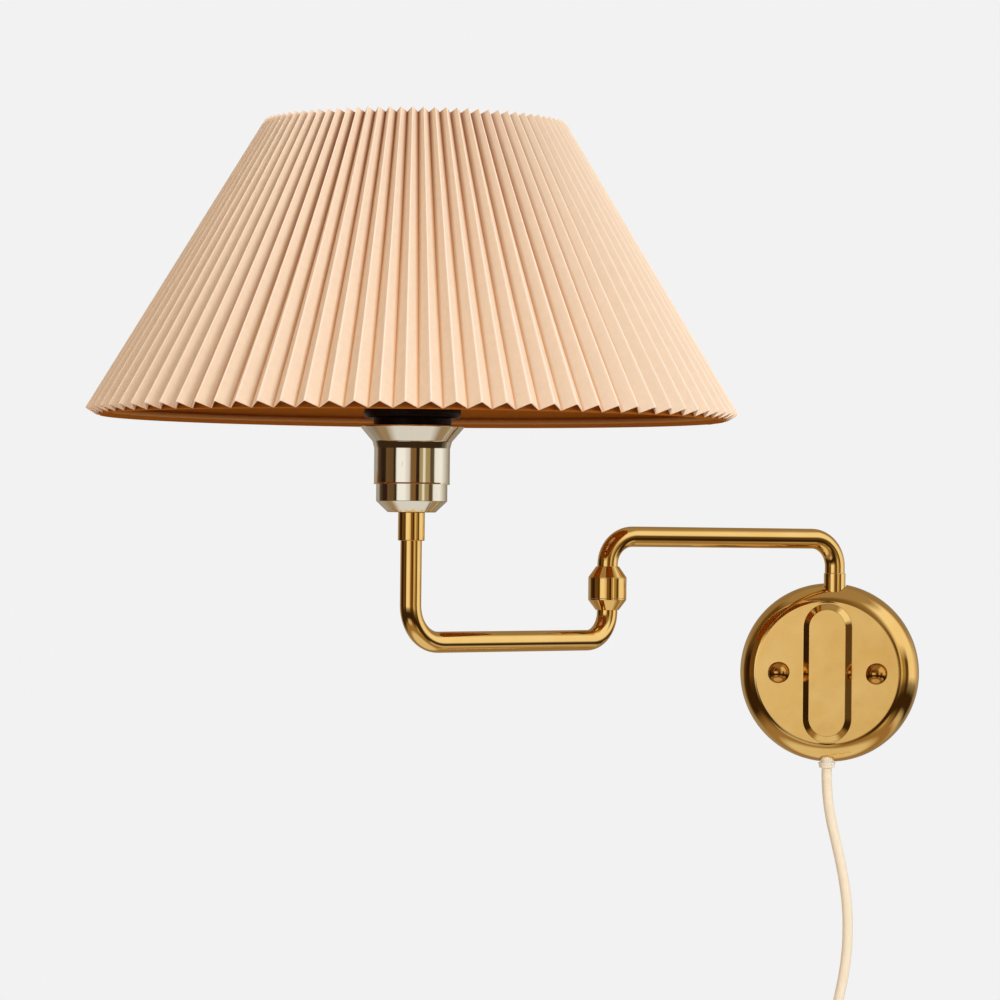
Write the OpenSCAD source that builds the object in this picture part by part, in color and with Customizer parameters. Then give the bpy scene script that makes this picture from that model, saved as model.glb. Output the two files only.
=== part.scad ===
// Two-arm brass wall light with a pleated empire shade, a cord, an in-line switch and a plug.
// Origin: on the wall, at the wall plate's centre. +Z is up, -Y is out of the wall, +X is right.

/* [Wall plate] */
// Diameter of the pressed cover
plate_d = 104.5; // [100:0.5:112]
// How far the cover's flat face stands out of the wall
plate_depth = 18; // [17.5:0.5:22]
// Diameter of the flat face
face_d = 84; // [83:0.5:88]
// Depth of the straight rim before the shoulder rounds in
rim_depth = 4; // [2:0.5:6]
// Sheet thickness of the cover
cover_t = 1; // [0.7:0.1:1.1]
// Width of the raised boss at the flat face
boss_w = 28.3; // [24:0.1:32]
// Height of the raised boss at the flat face
boss_len = 81; // [70:0.5:82]
// How far the boss stands out of the flat face
boss_rise = 2.6; // [1.5:0.1:4]
// How far the boss's sloped wall leans in
boss_slope = 3.6; // [2:0.1:4.5]
// Diameter of the domed nuts
dome_d = 12.4; // [9:0.1:13]
// Distance between the two domed nuts
stud_pitch = 57; // [50:0.5:62]
// Diameter of the studs
stud_d = 4; // [3:0.5:5]

/* [Wall bracket] */
// Thickness of the steel bracket
bracket_t = 1.5; // [1:0.1:2]
// Height of the cross bar
bar_h = 24; // [18:1:28]
// Distance between the two wall holes
wall_hole_pitch = 80; // [74:1:82]
// Diameter of the wall holes
wall_hole_d = 5; // [4:0.5:6]
// Width of the upright
upright_w = 26; // [24:1:32]

/* [Swivels] */
// Distance of the wall swivel to the right of the plate's centre line
pivot_x = 3; // [0:0.5:4]
// Distance of the wall swivel's axis from the wall
pivot_y = 8.5; // [8.3:0.1:9.2]
// Outer diameter of the pivot sleeve
sleeve_d = 12.6; // [12:0.1:13.4]
// How far the pivot sleeve stands above the cover's rim
sleeve_proud = 5.8; // [3:0.2:10]
// Height of the block that holds the sleeve
block_h = 14; // [10:1:18]
// Bore of the hollow swivel pins, for the flex
pin_bore = 6.5; // [6:0.1:7]
// Outer diameter of the elbow pin and the lamp nipple
nipple_d = 10; // [9:0.1:10.4]
// Width of the hexagonal nuts across their flats
nut_af = 14; // [12.5:0.5:14]
// Thickness of the nuts
nut_h = 3.5; // [2.5:0.5:4]
// Diameter of the friction washers
washer_d = 15.6; // [14:0.1:16]
// Thickness of the friction washers
washer_t = 1; // [0.5:0.1:1.5]
// Gap between faces that turn on each other
turn_gap = 0.3; // [0.3:0.05:0.5]
// Radial clearance of the swivel pins in their bores
run_gap = 0.05; // [0.02:0.01:0.09]
// Radial clearance of pieces that are fixed together
seat_gap = 0.05; // [0.02:0.01:0.1]

/* [Arms] */
// Length of each arm between its two upright axes
arm_len = 152; // [120:1:190]
// Outer diameter of the arm tubes
tube_d = 11.6; // [11.2:0.1:12]
// Wall thickness of the arm tubes
tube_wall = 1; // [0.8:0.1:1.1]
// Bend radius beside the swivels
bend_r = 16; // [14:0.5:20]
// Bend radius under the lampholder
end_bend_r = 20.5; // [16:0.5:26]
// Straight run of the upper arm above the pivot sleeve
wall_leg = 3.9; // [2:0.1:12]
// Straight run of the tubes at the elbow
elbow_leg = 1; // [0.5:0.1:6]
// Height of the lamp end's collar above the lower arm's axis
stem_rise = 55.2; // [45:0.2:80]
// Direction of the upper arm, in degrees left of straight out
upper_turn = 53.5; // [-80:0.5:80]
// Direction of the lower arm, in degrees left of straight out
lower_turn = 37; // [-60:0.5:90]

/* [Elbow knuckle] */
// Diameter of the barrel
barrel_d = 21.7; // [21:0.1:26]
// Height of the barrel
barrel_h = 11.6; // [11.2:0.1:16]
// Height of the upper cone
cap_cone_h = 6.6; // [5.5:0.1:9]
// Height of the lower cone
foot_cone_h = 6.3; // [5.5:0.1:9]
// Diameter of the cones at the tube
cone_end_d = 13; // [12.8:0.1:14]
// Wall of the barrel around the nut
barrel_wall = 1.9; // [1:0.1:2.1]
// Thickness of the barrel's floor
barrel_floor = 2.6; // [2:0.1:3]

/* [Lampholder] */
// Diameter of the collar on the stem
collar_d = 14.5; // [14:0.1:16]
// Height of the collar
collar_h = 15.4; // [13:0.2:20]
// How deep the stem goes into the collar
collar_socket = 6; // [3:0.5:7]
// Diameter of the base's small end
base_small_d = 26; // [24:0.5:30]
// Diameter of the base's straight part
base_d = 38.6; // [37:0.1:40]
// Height of the base's cone
base_cone_h = 6; // [4:0.5:8]
// Height of the base up to the sleeve's lip
base_h = 15.1; // [13:0.1:20]
// Sheet thickness of the base
base_t = 1; // [0.7:0.1:1.2]
// Diameter of the sleeve's body
holder_d = 41.2; // [40.6:0.1:43]
// Height of the sleeve from its lip to the flare
holder_h = 23.6; // [20:0.2:30]
// Height of the flare
flare_h = 7.2; // [5:0.1:9]
// Diameter of the flare's rolled edge
flare_d = 56.3; // [52:0.1:60]
// Thickness of the flare's rolled edge
flare_edge = 2; // [1.4:0.1:2.4]
// Sheet thickness of the sleeve
sleeve_t = 0.7; // [0.5:0.1:0.8]
// Diameter of the sleeve's lip
lip_d = 42.2; // [41.8:0.1:44]
// Height of the insulating barrel above the flare
barrel_rise = 19.8; // [17:0.2:24]
// Diameter of the black shade ring's flange
flange_d = 52.6; // [48:0.1:56]
// Height of the black shade ring's flange
flange_h = 7; // [5:0.1:9]
// Diameter of the black shade ring's neck
neck_d = 42.3; // [41.5:0.1:46]
// Gap of neck that shows between the flare and the flange
neck_show = 4; // [2:0.2:6]
// Diameter of the lamp bulb
bulb_d = 60; // [45:1:62]
// Length of the lamp bulb's glass
bulb_len = 80; // [70:1:90]

/* [Shade] */
// Radius of the pleats' outer ridges at the bottom
ridge_r = 176.7; // [150:0.5:190]
// Radius of the pleats' outer ridges at the top
ridge_top_r = 81.7; // [72:0.5:90]
// Height of the pleated skin
shade_h = 157; // [130:1:180]
// Height of the ridges' lower ends above the flange's underside
shade_drop = 3.7; // [0:0.1:8]
// Number of pleats
pleats = 86; // [60:2:100]
// Depth of the pleats at the bottom
pleat_depth = 6.5; // [4:0.1:8]
// Depth of the pleats at the top
pleat_top_depth = 5; // [3:0.1:6]
// Thickness of the pleated skin, along the cone's normal
skin_t = 0.8; // [0.6:0.1:1]
// Thickness of the smooth liner
liner_t = 0.8; // [0.5:0.1:1]
// How far the liner reaches below the pleats' valleys; negative where it ends above them
liner_hem = -0.6; // [-1:0.2:3]
// Gap between the liner and the pleats
skin_gap = 0.3; // [0.2:0.1:0.6]
// Wire diameter of the shade's two rings
wire_d = 3; // [2.6:0.1:4]
// Wire diameter of the spider's arms
spider_d = 2.4; // [2:0.1:2.5]
// Number of arms of the spider
spider_arms = 3; // [3:1:4]

/* [Cord] */
// Diameter of the cord
cord_d = 6; // [5.5:0.1:6.2]
// Diameter of the inner flex
flex_d = 5; // [4:0.1:5.4]
// Distance of the cord's centre from the wall where it leaves the cover
cord_y = 9; // [8.5:0.1:9.5]
// Diameter of the cord bush
bush_d = 9.9; // [9.4:0.1:10.4]
// How far the cord bush stands below the cover
bush_proud = 3.1; // [2:0.1:5]
// Number of turns in the coil, always a whole number and a quarter
coil_turns = 7.25; // [5.25:1:7.25]
// Radius of the coil's outermost turn
coil_r = 43; // [42:0.5:48]
// Distance between neighbouring turns
coil_pitch = 6.6; // [6.6:0.1:7]

/* [Switch and plug] */
// Length of the in-line switch
switch_len = 60; // [56:1:70]
// Width of the in-line switch
switch_w = 24; // [23:0.5:28]
// Thickness of the in-line switch
switch_t = 18; // [17.5:0.5:20]
// Wall of the switch's two halves
switch_wall = 2; // [1.6:0.1:2.4]
// Length of the rocker
rocker_len = 19; // [16:0.5:21]
// Width of the rocker
rocker_w = 12.4; // [10:0.1:13]
// Tilt of the rocker at rest, in degrees
rocker_tilt = 7; // [5:0.5:8]
// Length of the plug's body
plug_len = 36; // [32:1:40]
// Width of the plug's body
plug_w = 26; // [25:1:28]
// Thickness of the plug's body
plug_t = 13.6; // [12:0.2:14]
// Length of the plug's cord guard
guard_len = 22; // [20:1:30]
// Length of the plug's pins
prong_len = 19; // [18:0.5:20]
// Distance between the plug's pins
prong_pitch = 18; // [17:0.5:19]

/* [Hidden] */
$fn = 96;

// Colours
brass = [0.80, 0.60, 0.28];
nickel = [0.72, 0.69, 0.62];
steel = [0.62, 0.63, 0.65];
black = [0.06, 0.05, 0.05];
white = [0.90, 0.88, 0.82];
peach = [0.91, 0.75, 0.60];
cream = [0.86, 0.66, 0.44];
glass = [0.93, 0.93, 0.90];

// How far a cutting shape runs past what it cuts
over = 1;
// Gap between pieces that touch on curved or skewed faces
touch_gap = 0.15;

// Wall plate
plate_r = plate_d / 2;
face_r = face_d / 2;
shoulder_run = plate_r - face_r;
shoulder_drop = plate_depth - rim_depth;
// Radius of the arc that leaves the rim square and ends at the flat face
shoulder_r = (shoulder_run * shoulder_run + shoulder_drop * shoulder_drop) / (2 * shoulder_run);
stud_end = 4.6;
dome_lift = 2.6;
bore_reach = 30;
foot_cut = 10;
slot_gap = 0.25;
bush_neck_d = bush_d - 2.4;

// Wall swivel
tube_bore = tube_d - 2 * tube_wall;
spigot_d = tube_bore - 2 * seat_gap;
sleeve_top = plate_r + sleeve_proud;
block_z = 26;
block_w = sleeve_d + 7;
block_front = pivot_y + sleeve_d / 2 + 1;
nut_top = block_z - turn_gap - washer_t;
spigot_bottom = nut_top - nut_h - 1.2;
window_bottom = spigot_bottom - 4;
// The window lets the turning nut and washer pass through the upright's plane
swept_r = max(nut_af / cos(30), washer_d) / 2;
window_w = 2 * sqrt(max(0, swept_r * swept_r - (pivot_y - bracket_t) * (pivot_y - bracket_t))) + 3;
upper_bottom = sleeve_top + turn_gap;
upper_z = upper_bottom + wall_leg + bend_r;

// Elbow, from the top down
cap_top = upper_z - bend_r - elbow_leg;
barrel_top = cap_top - cap_cone_h;
barrel_bottom = barrel_top - barrel_h;
foot_top = barrel_bottom - turn_gap;
foot_bottom = foot_top - foot_cone_h;
lower_z = foot_bottom - elbow_leg - bend_r;
elbow_washer_z = barrel_bottom + barrel_floor + turn_gap;
elbow_nut_z = elbow_washer_z + washer_t;
elbow_pin_top = elbow_nut_z + nut_h + 0.4;
cap_spigot_bottom = elbow_pin_top + 0.5;
tube_in = 2.6;
chamber_d = barrel_d - 2 * barrel_wall;

// Lampholder, from the collar up
collar_z = lower_z + stem_rise;
base_z = collar_z + collar_h;
lip_z = base_z + base_h;
flare_z = lip_z + holder_h;
flare_top = flare_z + flare_h;
base_neck_h = 7;
barrel_z = lip_z + base_neck_h + touch_gap;
lamp_barrel_d = holder_d - 2 * sleeve_t - 2 * seat_gap - 1.2;
lamp_barrel_top = flare_top + barrel_rise;
flange_z = flare_top + flare_edge / 2 + neck_show;
ring_bottom = flare_z + 5.4;
fitter_z = flange_z + flange_h + touch_gap;
fitter_t = 1.2;
clamp_ring_d = lamp_barrel_d + 5.5;
fitter_d = flange_d;
core_z = base_z + base_cone_h + 0.6;
core_flange_h = 3;
core_top = core_z + 19.5;
core_d = 31.6;
cap_r = 13.2;
shell_z = core_top + 0.1;
shell_h = 23.5;
contact_h = 2.4;
bulb_cap_z = core_top + contact_h + 0.2;
bulb_cap_h = 22;
bulb_glass_z = bulb_cap_z + bulb_cap_h + 0.1;

// Shade
shade_z = flange_z + shade_drop;
cone_angle = atan((ridge_r - ridge_top_r) / shade_h);
out_r = cos(cone_angle);
out_z = sin(cone_angle);
valley_r = ridge_r - pleat_depth * out_r;
valley_z = shade_z - pleat_depth * out_z;
valley_top_r = ridge_top_r - pleat_top_depth * out_r;
valley_top_z = shade_z + shade_h - pleat_top_depth * out_z;
liner_in = skin_t + skin_gap;
liner_r = valley_r - liner_in * out_r + liner_hem * out_z;
liner_z = valley_z - liner_in * out_z - liner_hem * out_r;
liner_top_r = valley_top_r - liner_in * out_r;
liner_top_z = valley_top_z - liner_in * out_z;
wire_in = (liner_t + wire_d / 2) / out_r + touch_gap;
bottom_wire_z = liner_z + wire_d;
top_wire_z = liner_top_z - wire_d;
function liner_at(z) = liner_r + (liner_top_r - liner_r) * (z - liner_z) / (liner_top_z - liner_z);

// Cord route: points are [x, y, z]
bush_face = -plate_r - 0.15 - bush_proud;
cord_x = -0.5;
switch_top = -210;
UPPER_ROUTE = [[-0.5, -9, -55.5], [-0.5, -9, -60], [-0.3, -9, -66], [0.5, -9, -75], [2.5, -9, -87], [5.1, -9, -98],
    [8.1, -9, -111], [10.7, -9, -125], [12.2, -9, -138], [12.6, -9, -151], [12.1, -9, -163], [10.7, -9.1, -175],
    [8.7, -9.5, -186], [7.2, -10.2, -194], [6.6, -10.8, -201], [6.5, -11, -206], [6.5, -11, -210]];
switch_x = 6.5;
switch_y = -11;
switch_z = switch_top - switch_len / 2;
switch_bottom = switch_top - switch_len;
lead_drop = 6;
lead_r = 25;
coil_x = switch_x + lead_r + 2 * cord_d;
coil_z = switch_bottom - lead_drop - lead_r - coil_r;
coil_end = 18;
coil_rings = 24;
coil_sides = 6;
plug_x = coil_x + coil_r;
layers = 4;
coil_deep = (layers - 1) * coil_pitch;
plug_y = switch_y - coil_deep;
guard_top = coil_z - coil_end;
plug_top = guard_top - guard_len;
plug_bottom = plug_top - plug_len;

// Points on the lead from the switch to the coil
function lead_point(a) = [switch_x + lead_r * (1 - cos(a)), switch_y, switch_bottom - lead_drop - lead_r * sin(a)];
LOWER_ROUTE = concat([[switch_x, switch_y, switch_bottom]], [for (a = [0:15:90]) lead_point(a)],
    [[coil_x - cord_d, switch_y, coil_z + coil_r]]);

// Distance of the coil from its outer turn, as a number of turns: in and out again once per two layers
function wave(t, period) = period / 2 - abs(t - period * floor(t / period) - period / 2);
// Smooth climb of one layer in the half turn round a reversal
function climb(u) = u <= -0.25 ? 0 : u >= 0.25 ? 1 : (u + 0.25) * 2;
function layer_at(t) = climb(t - coil_turns / 4) + climb(t - coil_turns / 2) + climb(t - 3 * coil_turns / 4);
function coil_point(t) = let (r = coil_r - coil_pitch * wave(t, coil_turns / 2), a = 90 - 360 * t)
    [coil_x + r * cos(a), switch_y - coil_pitch * layer_at(t), coil_z + r * sin(a)];
coil_steps = coil_turns * coil_rings;
COIL_ROUTE = concat([[coil_x - cord_d, switch_y, coil_z + coil_r]],
    [for (i = [0:coil_steps]) coil_point(i / coil_rings)],
    [[plug_x, plug_y, coil_z - coil_end / 2], [plug_x, plug_y, coil_z - coil_end]]);
function span(a, b) = norm(a - b);
function route_length(p) = [for (i = [0:len(p) - 2]) span(p[i], p[i + 1])] * [for (i = [0:len(p) - 2]) 1];
coil_gap = min([for (i = [1:len(COIL_ROUTE) - 3], j = [i + 13:1:len(COIL_ROUTE) - 2])
    span(COIL_ROUTE[i], COIL_ROUTE[j])]) - cord_d;
echo(coil_gap = coil_gap, coil_length = route_length(COIL_ROUTE),
    upper_length = route_length(UPPER_ROUTE), lower_length = route_length(LOWER_ROUTE));

// A tube swept along points: sides faces round, a ring at each point, square ends
module tube(points, d, sides) {
    last = len(points) - 1;
    function along(i) = let (v = points[min(i + 1, last)] - points[max(i - 1, 0)]) v / norm(v);
    function side(i) = let (t = along(i), n = [0, 1, 0] - t * t[1]) n / norm(n);
    rings = [for (i = [0:last]) let (t = along(i), n = side(i), b = cross(t, n))
        for (k = [0:sides - 1]) points[i] + d / 2 * (cos(360 * k / sides) * n + sin(360 * k / sides) * b)];
    walls = [for (i = [0:last - 1], k = [0:sides - 1])
        let (a = i * sides + k, b = i * sides + (k + 1) % sides)
        each [[a, b, a + sides], [b, b + sides, a + sides]]];
    first_cap = [for (k = [1:sides - 2]) [0, k + 1, k]];
    last_cap = [for (k = [1:sides - 2]) [last * sides, last * sides + k, last * sides + k + 1]];
    polyhedron(points = rings, faces = [for (f = concat(walls, first_cap, last_cap)) [f[2], f[1], f[0]]]);
}

// Places of the upright axes
module at_wall_pivot() {
    translate([pivot_x, -pivot_y, 0]) children();
}
module on_upper_arm() {
    at_wall_pivot() rotate(-90 - upper_turn) children();
}
module at_elbow() {
    on_upper_arm() translate([arm_len, 0, 0]) children();
}
module on_lower_arm() {
    at_elbow() rotate(upper_turn - lower_turn) children();
}
module at_lamp() {
    on_lower_arm() translate([arm_len, 0, 0]) children();
}
// Lays a shape that is drawn standing on the XY plane against the wall, so that it rises out of the wall
module out_of_wall() {
    rotate([90, 0, 0]) children();
}

// A round rod along an arm: an upright leg, a bend, the run, a bend and another upright leg.
// up_a and up_b are 1 where a leg goes up and -1 where it goes down.
module arm_rod(d, axis_z, end_a, up_a, r_a, end_b, up_b, r_b) {
    leg(d, 0, axis_z + up_a * r_a, end_a);
    translate([r_a, 0, axis_z + up_a * r_a]) quarter_bend(d, r_a, up_a > 0 ? 180 : 90);
    translate([r_a, 0, axis_z]) rotate([0, 90, 0]) cylinder(d = d, h = arm_len - r_a - r_b);
    translate([arm_len - r_b, 0, axis_z + up_b * r_b]) quarter_bend(d, r_b, up_b > 0 ? 270 : 0);
    leg(d, arm_len, axis_z + up_b * r_b, end_b);
}
module leg(d, x, z_a, z_b) {
    translate([x, 0, min(z_a, z_b)]) cylinder(d = d, h = abs(z_a - z_b));
}
module quarter_bend(d, r, start) {
    rotate([90, 0, 0]) rotate(start) rotate_extrude(angle = 90) translate([r, 0]) circle(d = d);
}
// A flat bar with round ends
module bar_shape(length, width) {
    square([length - width, width], center = true);
    translate([length / 2 - width / 2, 0]) circle(d = width);
    translate([width / 2 - length / 2, 0]) circle(d = width);
}
module hex_nut(bore) {
    difference() {
        cylinder(d = nut_af / cos(30), h = nut_h, $fn = 6);
        translate([0, 0, -over]) cylinder(d = bore, h = nut_h + 2 * over);
    }
}
module ring(outer, inner, h) {
    difference() {
        cylinder(d = outer, h = h);
        translate([0, 0, -over]) cylinder(d = inner, h = h + 2 * over);
    }
}

// Wall bracket: a cross bar with the wall holes, an upright, the sleeve's block and the clamp's two seats
clamp_z = -34;
clamp_pitch = 16;
clamp_seat_d = 6.5;
clamp_bar_w = 7;
clamp_y = cord_y + cord_d / 2 + touch_gap;
upright_top = block_z + block_h;
upright_bottom = clamp_z - 4.5;
// How far the cross bar runs past the centre of each wall hole
bar_end = 6;
module wall_bracket() {
    color(steel) difference() {
        union() {
            out_of_wall() linear_extrude(bracket_t) bar_shape(wall_hole_pitch + 2 * bar_end, bar_h);
            out_of_wall() linear_extrude(bracket_t) translate([-upright_w / 2, upright_bottom])
                square([upright_w, upright_top - upright_bottom]);
            translate([pivot_x - block_w / 2, -block_front, block_z])
                cube([block_w, block_front - bracket_t / 2, block_h]);
            for (s = [-1, 1]) translate([cord_x + s * clamp_pitch / 2, -bracket_t / 2, clamp_z])
                out_of_wall() cylinder(d = clamp_seat_d, h = clamp_y - bracket_t / 2);
        }
        for (s = [-1, 1]) translate([s * wall_hole_pitch / 2, over, 0])
            out_of_wall() cylinder(d = wall_hole_d, h = bracket_t + 2 * over);
        at_wall_pivot() translate([0, 0, block_z - over])
            cylinder(d = sleeve_d + 2 * seat_gap, h = block_h + 2 * over);
        translate([pivot_x - window_w / 2, -bracket_t - over, window_bottom])
            cube([window_w, bracket_t + 2 * over, block_z - window_bottom]);
        for (s = [-1, 1]) translate([cord_x + s * clamp_pitch / 2, over, clamp_z])
            out_of_wall() cylinder(d = 2.6, h = clamp_y + 2 * over);
    }
}
module cover_studs() {
    color(steel) for (s = [-1, 1]) translate([s * stud_pitch / 2, -bracket_t, 0])
        out_of_wall() cylinder(d = stud_d, h = plate_depth + stud_end - bracket_t);
}
module pivot_sleeve() {
    color(brass) at_wall_pivot() translate([0, 0, block_z])
        ring(sleeve_d, spigot_d + 2 * run_gap, sleeve_top - block_z);
}

// Half outline of the cover, shrunk by t on its outside
module cover_outline(t) {
    intersection() {
        union() {
            square([plate_r - t, rim_depth]);
            square([plate_r - shoulder_r, plate_depth]);
            translate([plate_r - shoulder_r, rim_depth]) circle(r = shoulder_r - t, $fn = 180);
        }
        translate([0, -over]) square([plate_r, plate_depth - t + over]);
    }
}
module cover_solid(t) {
    out_of_wall() rotate_extrude($fn = 180) intersection() {
        cover_outline(t);
        square([plate_r, plate_depth]);
    }
}
// The boss is a race-track with sloped walls: two cones and a wedge between them
module boss_solid(t) {
    base_w = boss_w - 2 * t;
    top_w = base_w - 2 * boss_slope;
    reach = boss_len / 2 - boss_w / 2;
    h = boss_rise + over;
    slope = boss_slope / boss_rise * over;
    translate([0, over - plate_depth + t, 0]) {
        for (s = [-1, 1]) translate([0, 0, s * reach])
            out_of_wall() cylinder(d1 = base_w + 2 * slope, d2 = top_w, h = h);
        translate([0, 0, -reach]) linear_extrude(2 * reach) polygon([[-base_w / 2 - slope, 0],
            [base_w / 2 + slope, 0], [top_w / 2, -h], [-top_w / 2, -h]]);
    }
}
module wall_cover() {
    bush_slot = bush_neck_d + 2 * touch_gap;
    color(brass) difference() {
        union() {
            cover_solid(0);
            boss_solid(0);
        }
        translate([0, 0.01, 0]) cover_solid(cover_t);
        boss_solid(cover_t);
        at_wall_pivot() cylinder(d = sleeve_d + 2 * slot_gap, h = plate_r + over);
        translate([pivot_x - sleeve_d / 2 - slot_gap, -pivot_y, plate_r / 2])
            cube([sleeve_d + 2 * slot_gap, pivot_y + over, plate_r]);
        translate([cord_x, -cord_y, -plate_r - over]) cylinder(d = bush_slot, h = plate_r / 2);
        translate([cord_x - bush_slot / 2, -cord_y, -plate_r - over])
            cube([bush_slot, cord_y + over, plate_r / 2]);
        for (s = [-1, 1]) translate([s * stud_pitch / 2, 0, 0])
            out_of_wall() cylinder(d = stud_d + 0.6, h = plate_depth + over);
    }
}
module domed_nuts() {
    color(brass) for (s = [-1, 1]) translate([s * stud_pitch / 2, -plate_depth, 0]) out_of_wall() difference() {
        translate([0, 0, dome_lift]) sphere(d = dome_d);
        translate([-dome_d, -dome_d, -dome_d]) cube([2 * dome_d, 2 * dome_d, dome_d]);
        translate([0, 0, -over]) cylinder(d = stud_d + 2 * seat_gap, h = stud_end + 0.3 + over);
    }
}

// Terminal block with two screws on the upright
terminal_w = 18;
terminal_h = 13;
terminal_deep = 12;
terminal_z = -20;
module terminal_block() {
    color(white) difference() {
        translate([-terminal_w / 2, -bracket_t - terminal_deep, terminal_z])
            cube([terminal_w, terminal_deep, terminal_h]);
        for (s = [-1, 1]) translate([s * 4.5, -bracket_t - terminal_deep + 6, terminal_z + terminal_h / 2])
            out_of_wall() cylinder(d = 4.2, h = 6 + over);
    }
}
module terminal_screws() {
    color(brass) for (s = [-1, 1])
        translate([s * 4.5, -bracket_t - terminal_deep + 6, terminal_z + terminal_h / 2])
        out_of_wall() difference() {
            cylinder(d = 4, h = 4);
            translate([-3, -0.4, 3]) cube([6, 0.8, 2]);
        }
}
clamp_bar_t = 2.4;
clamp_screw_d = 2.4;
clamp_head_h = 1.6;
module cord_clamp() {
    color(white) translate([cord_x, -clamp_y, clamp_z]) out_of_wall() difference() {
        linear_extrude(clamp_bar_t) bar_shape(clamp_pitch + clamp_bar_w, clamp_bar_w);
        for (s = [-1, 1]) translate([s * clamp_pitch / 2, 0, -over]) cylinder(d = 3, h = 4.4);
    }
}
module clamp_screws() {
    color(steel) for (s = [-1, 1]) translate([cord_x + s * clamp_pitch / 2, -clamp_y, clamp_z]) out_of_wall() {
        translate([0, 0, clamp_bar_t - 8]) cylinder(d = clamp_screw_d, h = 8.1);
        translate([0, 0, clamp_bar_t]) cylinder(d = 5, h = clamp_head_h);
    }
}
// The bush sits in the cover's bottom slot: a flange inside, a neck and a flange outside
module cord_bush() {
    inner_z = 6.4 - plate_r;
    inner_h = 1.5;
    color(white) translate([cord_x, -cord_y, 0]) difference() {
        union() {
            translate([0, 0, bush_face]) cylinder(d = bush_d, h = bush_proud);
            translate([0, 0, bush_face]) cylinder(d = bush_neck_d, h = inner_z + inner_h - bush_face);
            translate([0, 0, inner_z]) cylinder(d = bush_d, h = inner_h);
        }
        translate([0, 0, bush_face - over]) cylinder(d = cord_d + 2 * touch_gap, h = 20);
    }
}
module cord_inner() {
    color(white) translate([cord_x, -cord_y, bush_face])
        cylinder(d = cord_d, h = terminal_z - bush_face);
}
flex_join_z = spigot_bottom + 2;
module flex_wall() {
    color(white) at_wall_pivot() translate([0, 0, terminal_z + terminal_h])
        cylinder(d = flex_d, h = flex_join_z - terminal_z - terminal_h);
}

// Upper arm
module upper_arm() {
    color(brass) on_upper_arm() difference() {
        arm_rod(tube_d, upper_z, upper_bottom, -1, bend_r, barrel_top + cap_cone_h - tube_in, -1, bend_r);
        arm_rod(tube_bore, upper_z, upper_bottom - over, -1, bend_r, cap_top - tube_in - over, -1, bend_r);
    }
}
module wall_spigot() {
    color(steel) at_wall_pivot() translate([0, 0, spigot_bottom])
        ring(spigot_d, pin_bore, upper_bottom + wall_leg - 0.3 - spigot_bottom);
}
module pivot_washer() {
    color(steel) at_wall_pivot() translate([0, 0, nut_top]) ring(washer_d, spigot_d + 2 * seat_gap, washer_t);
}
module pivot_nut() {
    color(steel) at_wall_pivot() translate([0, 0, nut_top - nut_h]) hex_nut(spigot_d + 2 * seat_gap);
}
module knuckle_cap() {
    color(brass) at_elbow() difference() {
        union() {
            translate([0, 0, barrel_top]) cylinder(d1 = barrel_d, d2 = cone_end_d, h = cap_cone_h);
            translate([0, 0, cap_spigot_bottom])
                cylinder(d = chamber_d - 2 * seat_gap, h = barrel_top - cap_spigot_bottom + 0.1);
        }
        translate([0, 0, cap_top - tube_in]) cylinder(d = tube_d + 2 * seat_gap, h = tube_in + over);
        translate([0, 0, cap_spigot_bottom - over]) cylinder(d = pin_bore, h = bore_reach);
    }
}
module knuckle_barrel() {
    color(brass) at_elbow() translate([0, 0, barrel_bottom]) difference() {
        cylinder(d = barrel_d, h = barrel_h);
        translate([0, 0, barrel_floor]) cylinder(d = chamber_d, h = barrel_h);
        translate([0, 0, -over]) cylinder(d = nipple_d + 2 * run_gap, h = barrel_h);
    }
}
elbow_join_z = elbow_pin_top - 2;
module flex_upper() {
    color(white) on_upper_arm()
        arm_rod(flex_d, upper_z, flex_join_z + turn_gap, -1, bend_r, elbow_join_z + turn_gap, -1, bend_r);
}

// Elbow pieces that turn with the lower arm
foot_socket = 2.6;
module elbow_pin() {
    color(steel) at_elbow() translate([0, 0, foot_bottom + foot_socket])
        ring(nipple_d, pin_bore, elbow_pin_top - foot_bottom - foot_socket);
}
module elbow_washer() {
    color(steel) at_elbow() translate([0, 0, elbow_washer_z]) ring(washer_d, nipple_d + 2 * seat_gap, washer_t);
}
module elbow_nut() {
    color(steel) at_elbow() translate([0, 0, elbow_nut_z]) hex_nut(nipple_d + 2 * seat_gap);
}
module knuckle_foot() {
    color(brass) at_elbow() translate([0, 0, foot_bottom]) difference() {
        cylinder(d1 = cone_end_d, d2 = barrel_d, h = foot_cone_h);
        translate([0, 0, -over]) cylinder(d = nipple_d + 2 * seat_gap, h = foot_cone_h + 2 * over);
        translate([0, 0, -over]) cylinder(d = tube_d + 2 * seat_gap, h = foot_socket + over);
    }
}
module lower_arm() {
    top_a = foot_bottom + foot_socket - touch_gap;
    top_b = collar_z + collar_socket - touch_gap;
    color(brass) on_lower_arm() difference() {
        arm_rod(tube_d, lower_z, top_a, 1, bend_r, top_b, 1, end_bend_r);
        arm_rod(tube_bore, lower_z, top_a + over, 1, bend_r, top_b + over, 1, end_bend_r);
    }
}
module flex_lower() {
    color(white) on_lower_arm()
        arm_rod(flex_d, lower_z, elbow_join_z, 1, bend_r, core_z - 3, 1, end_bend_r);
}

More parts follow.
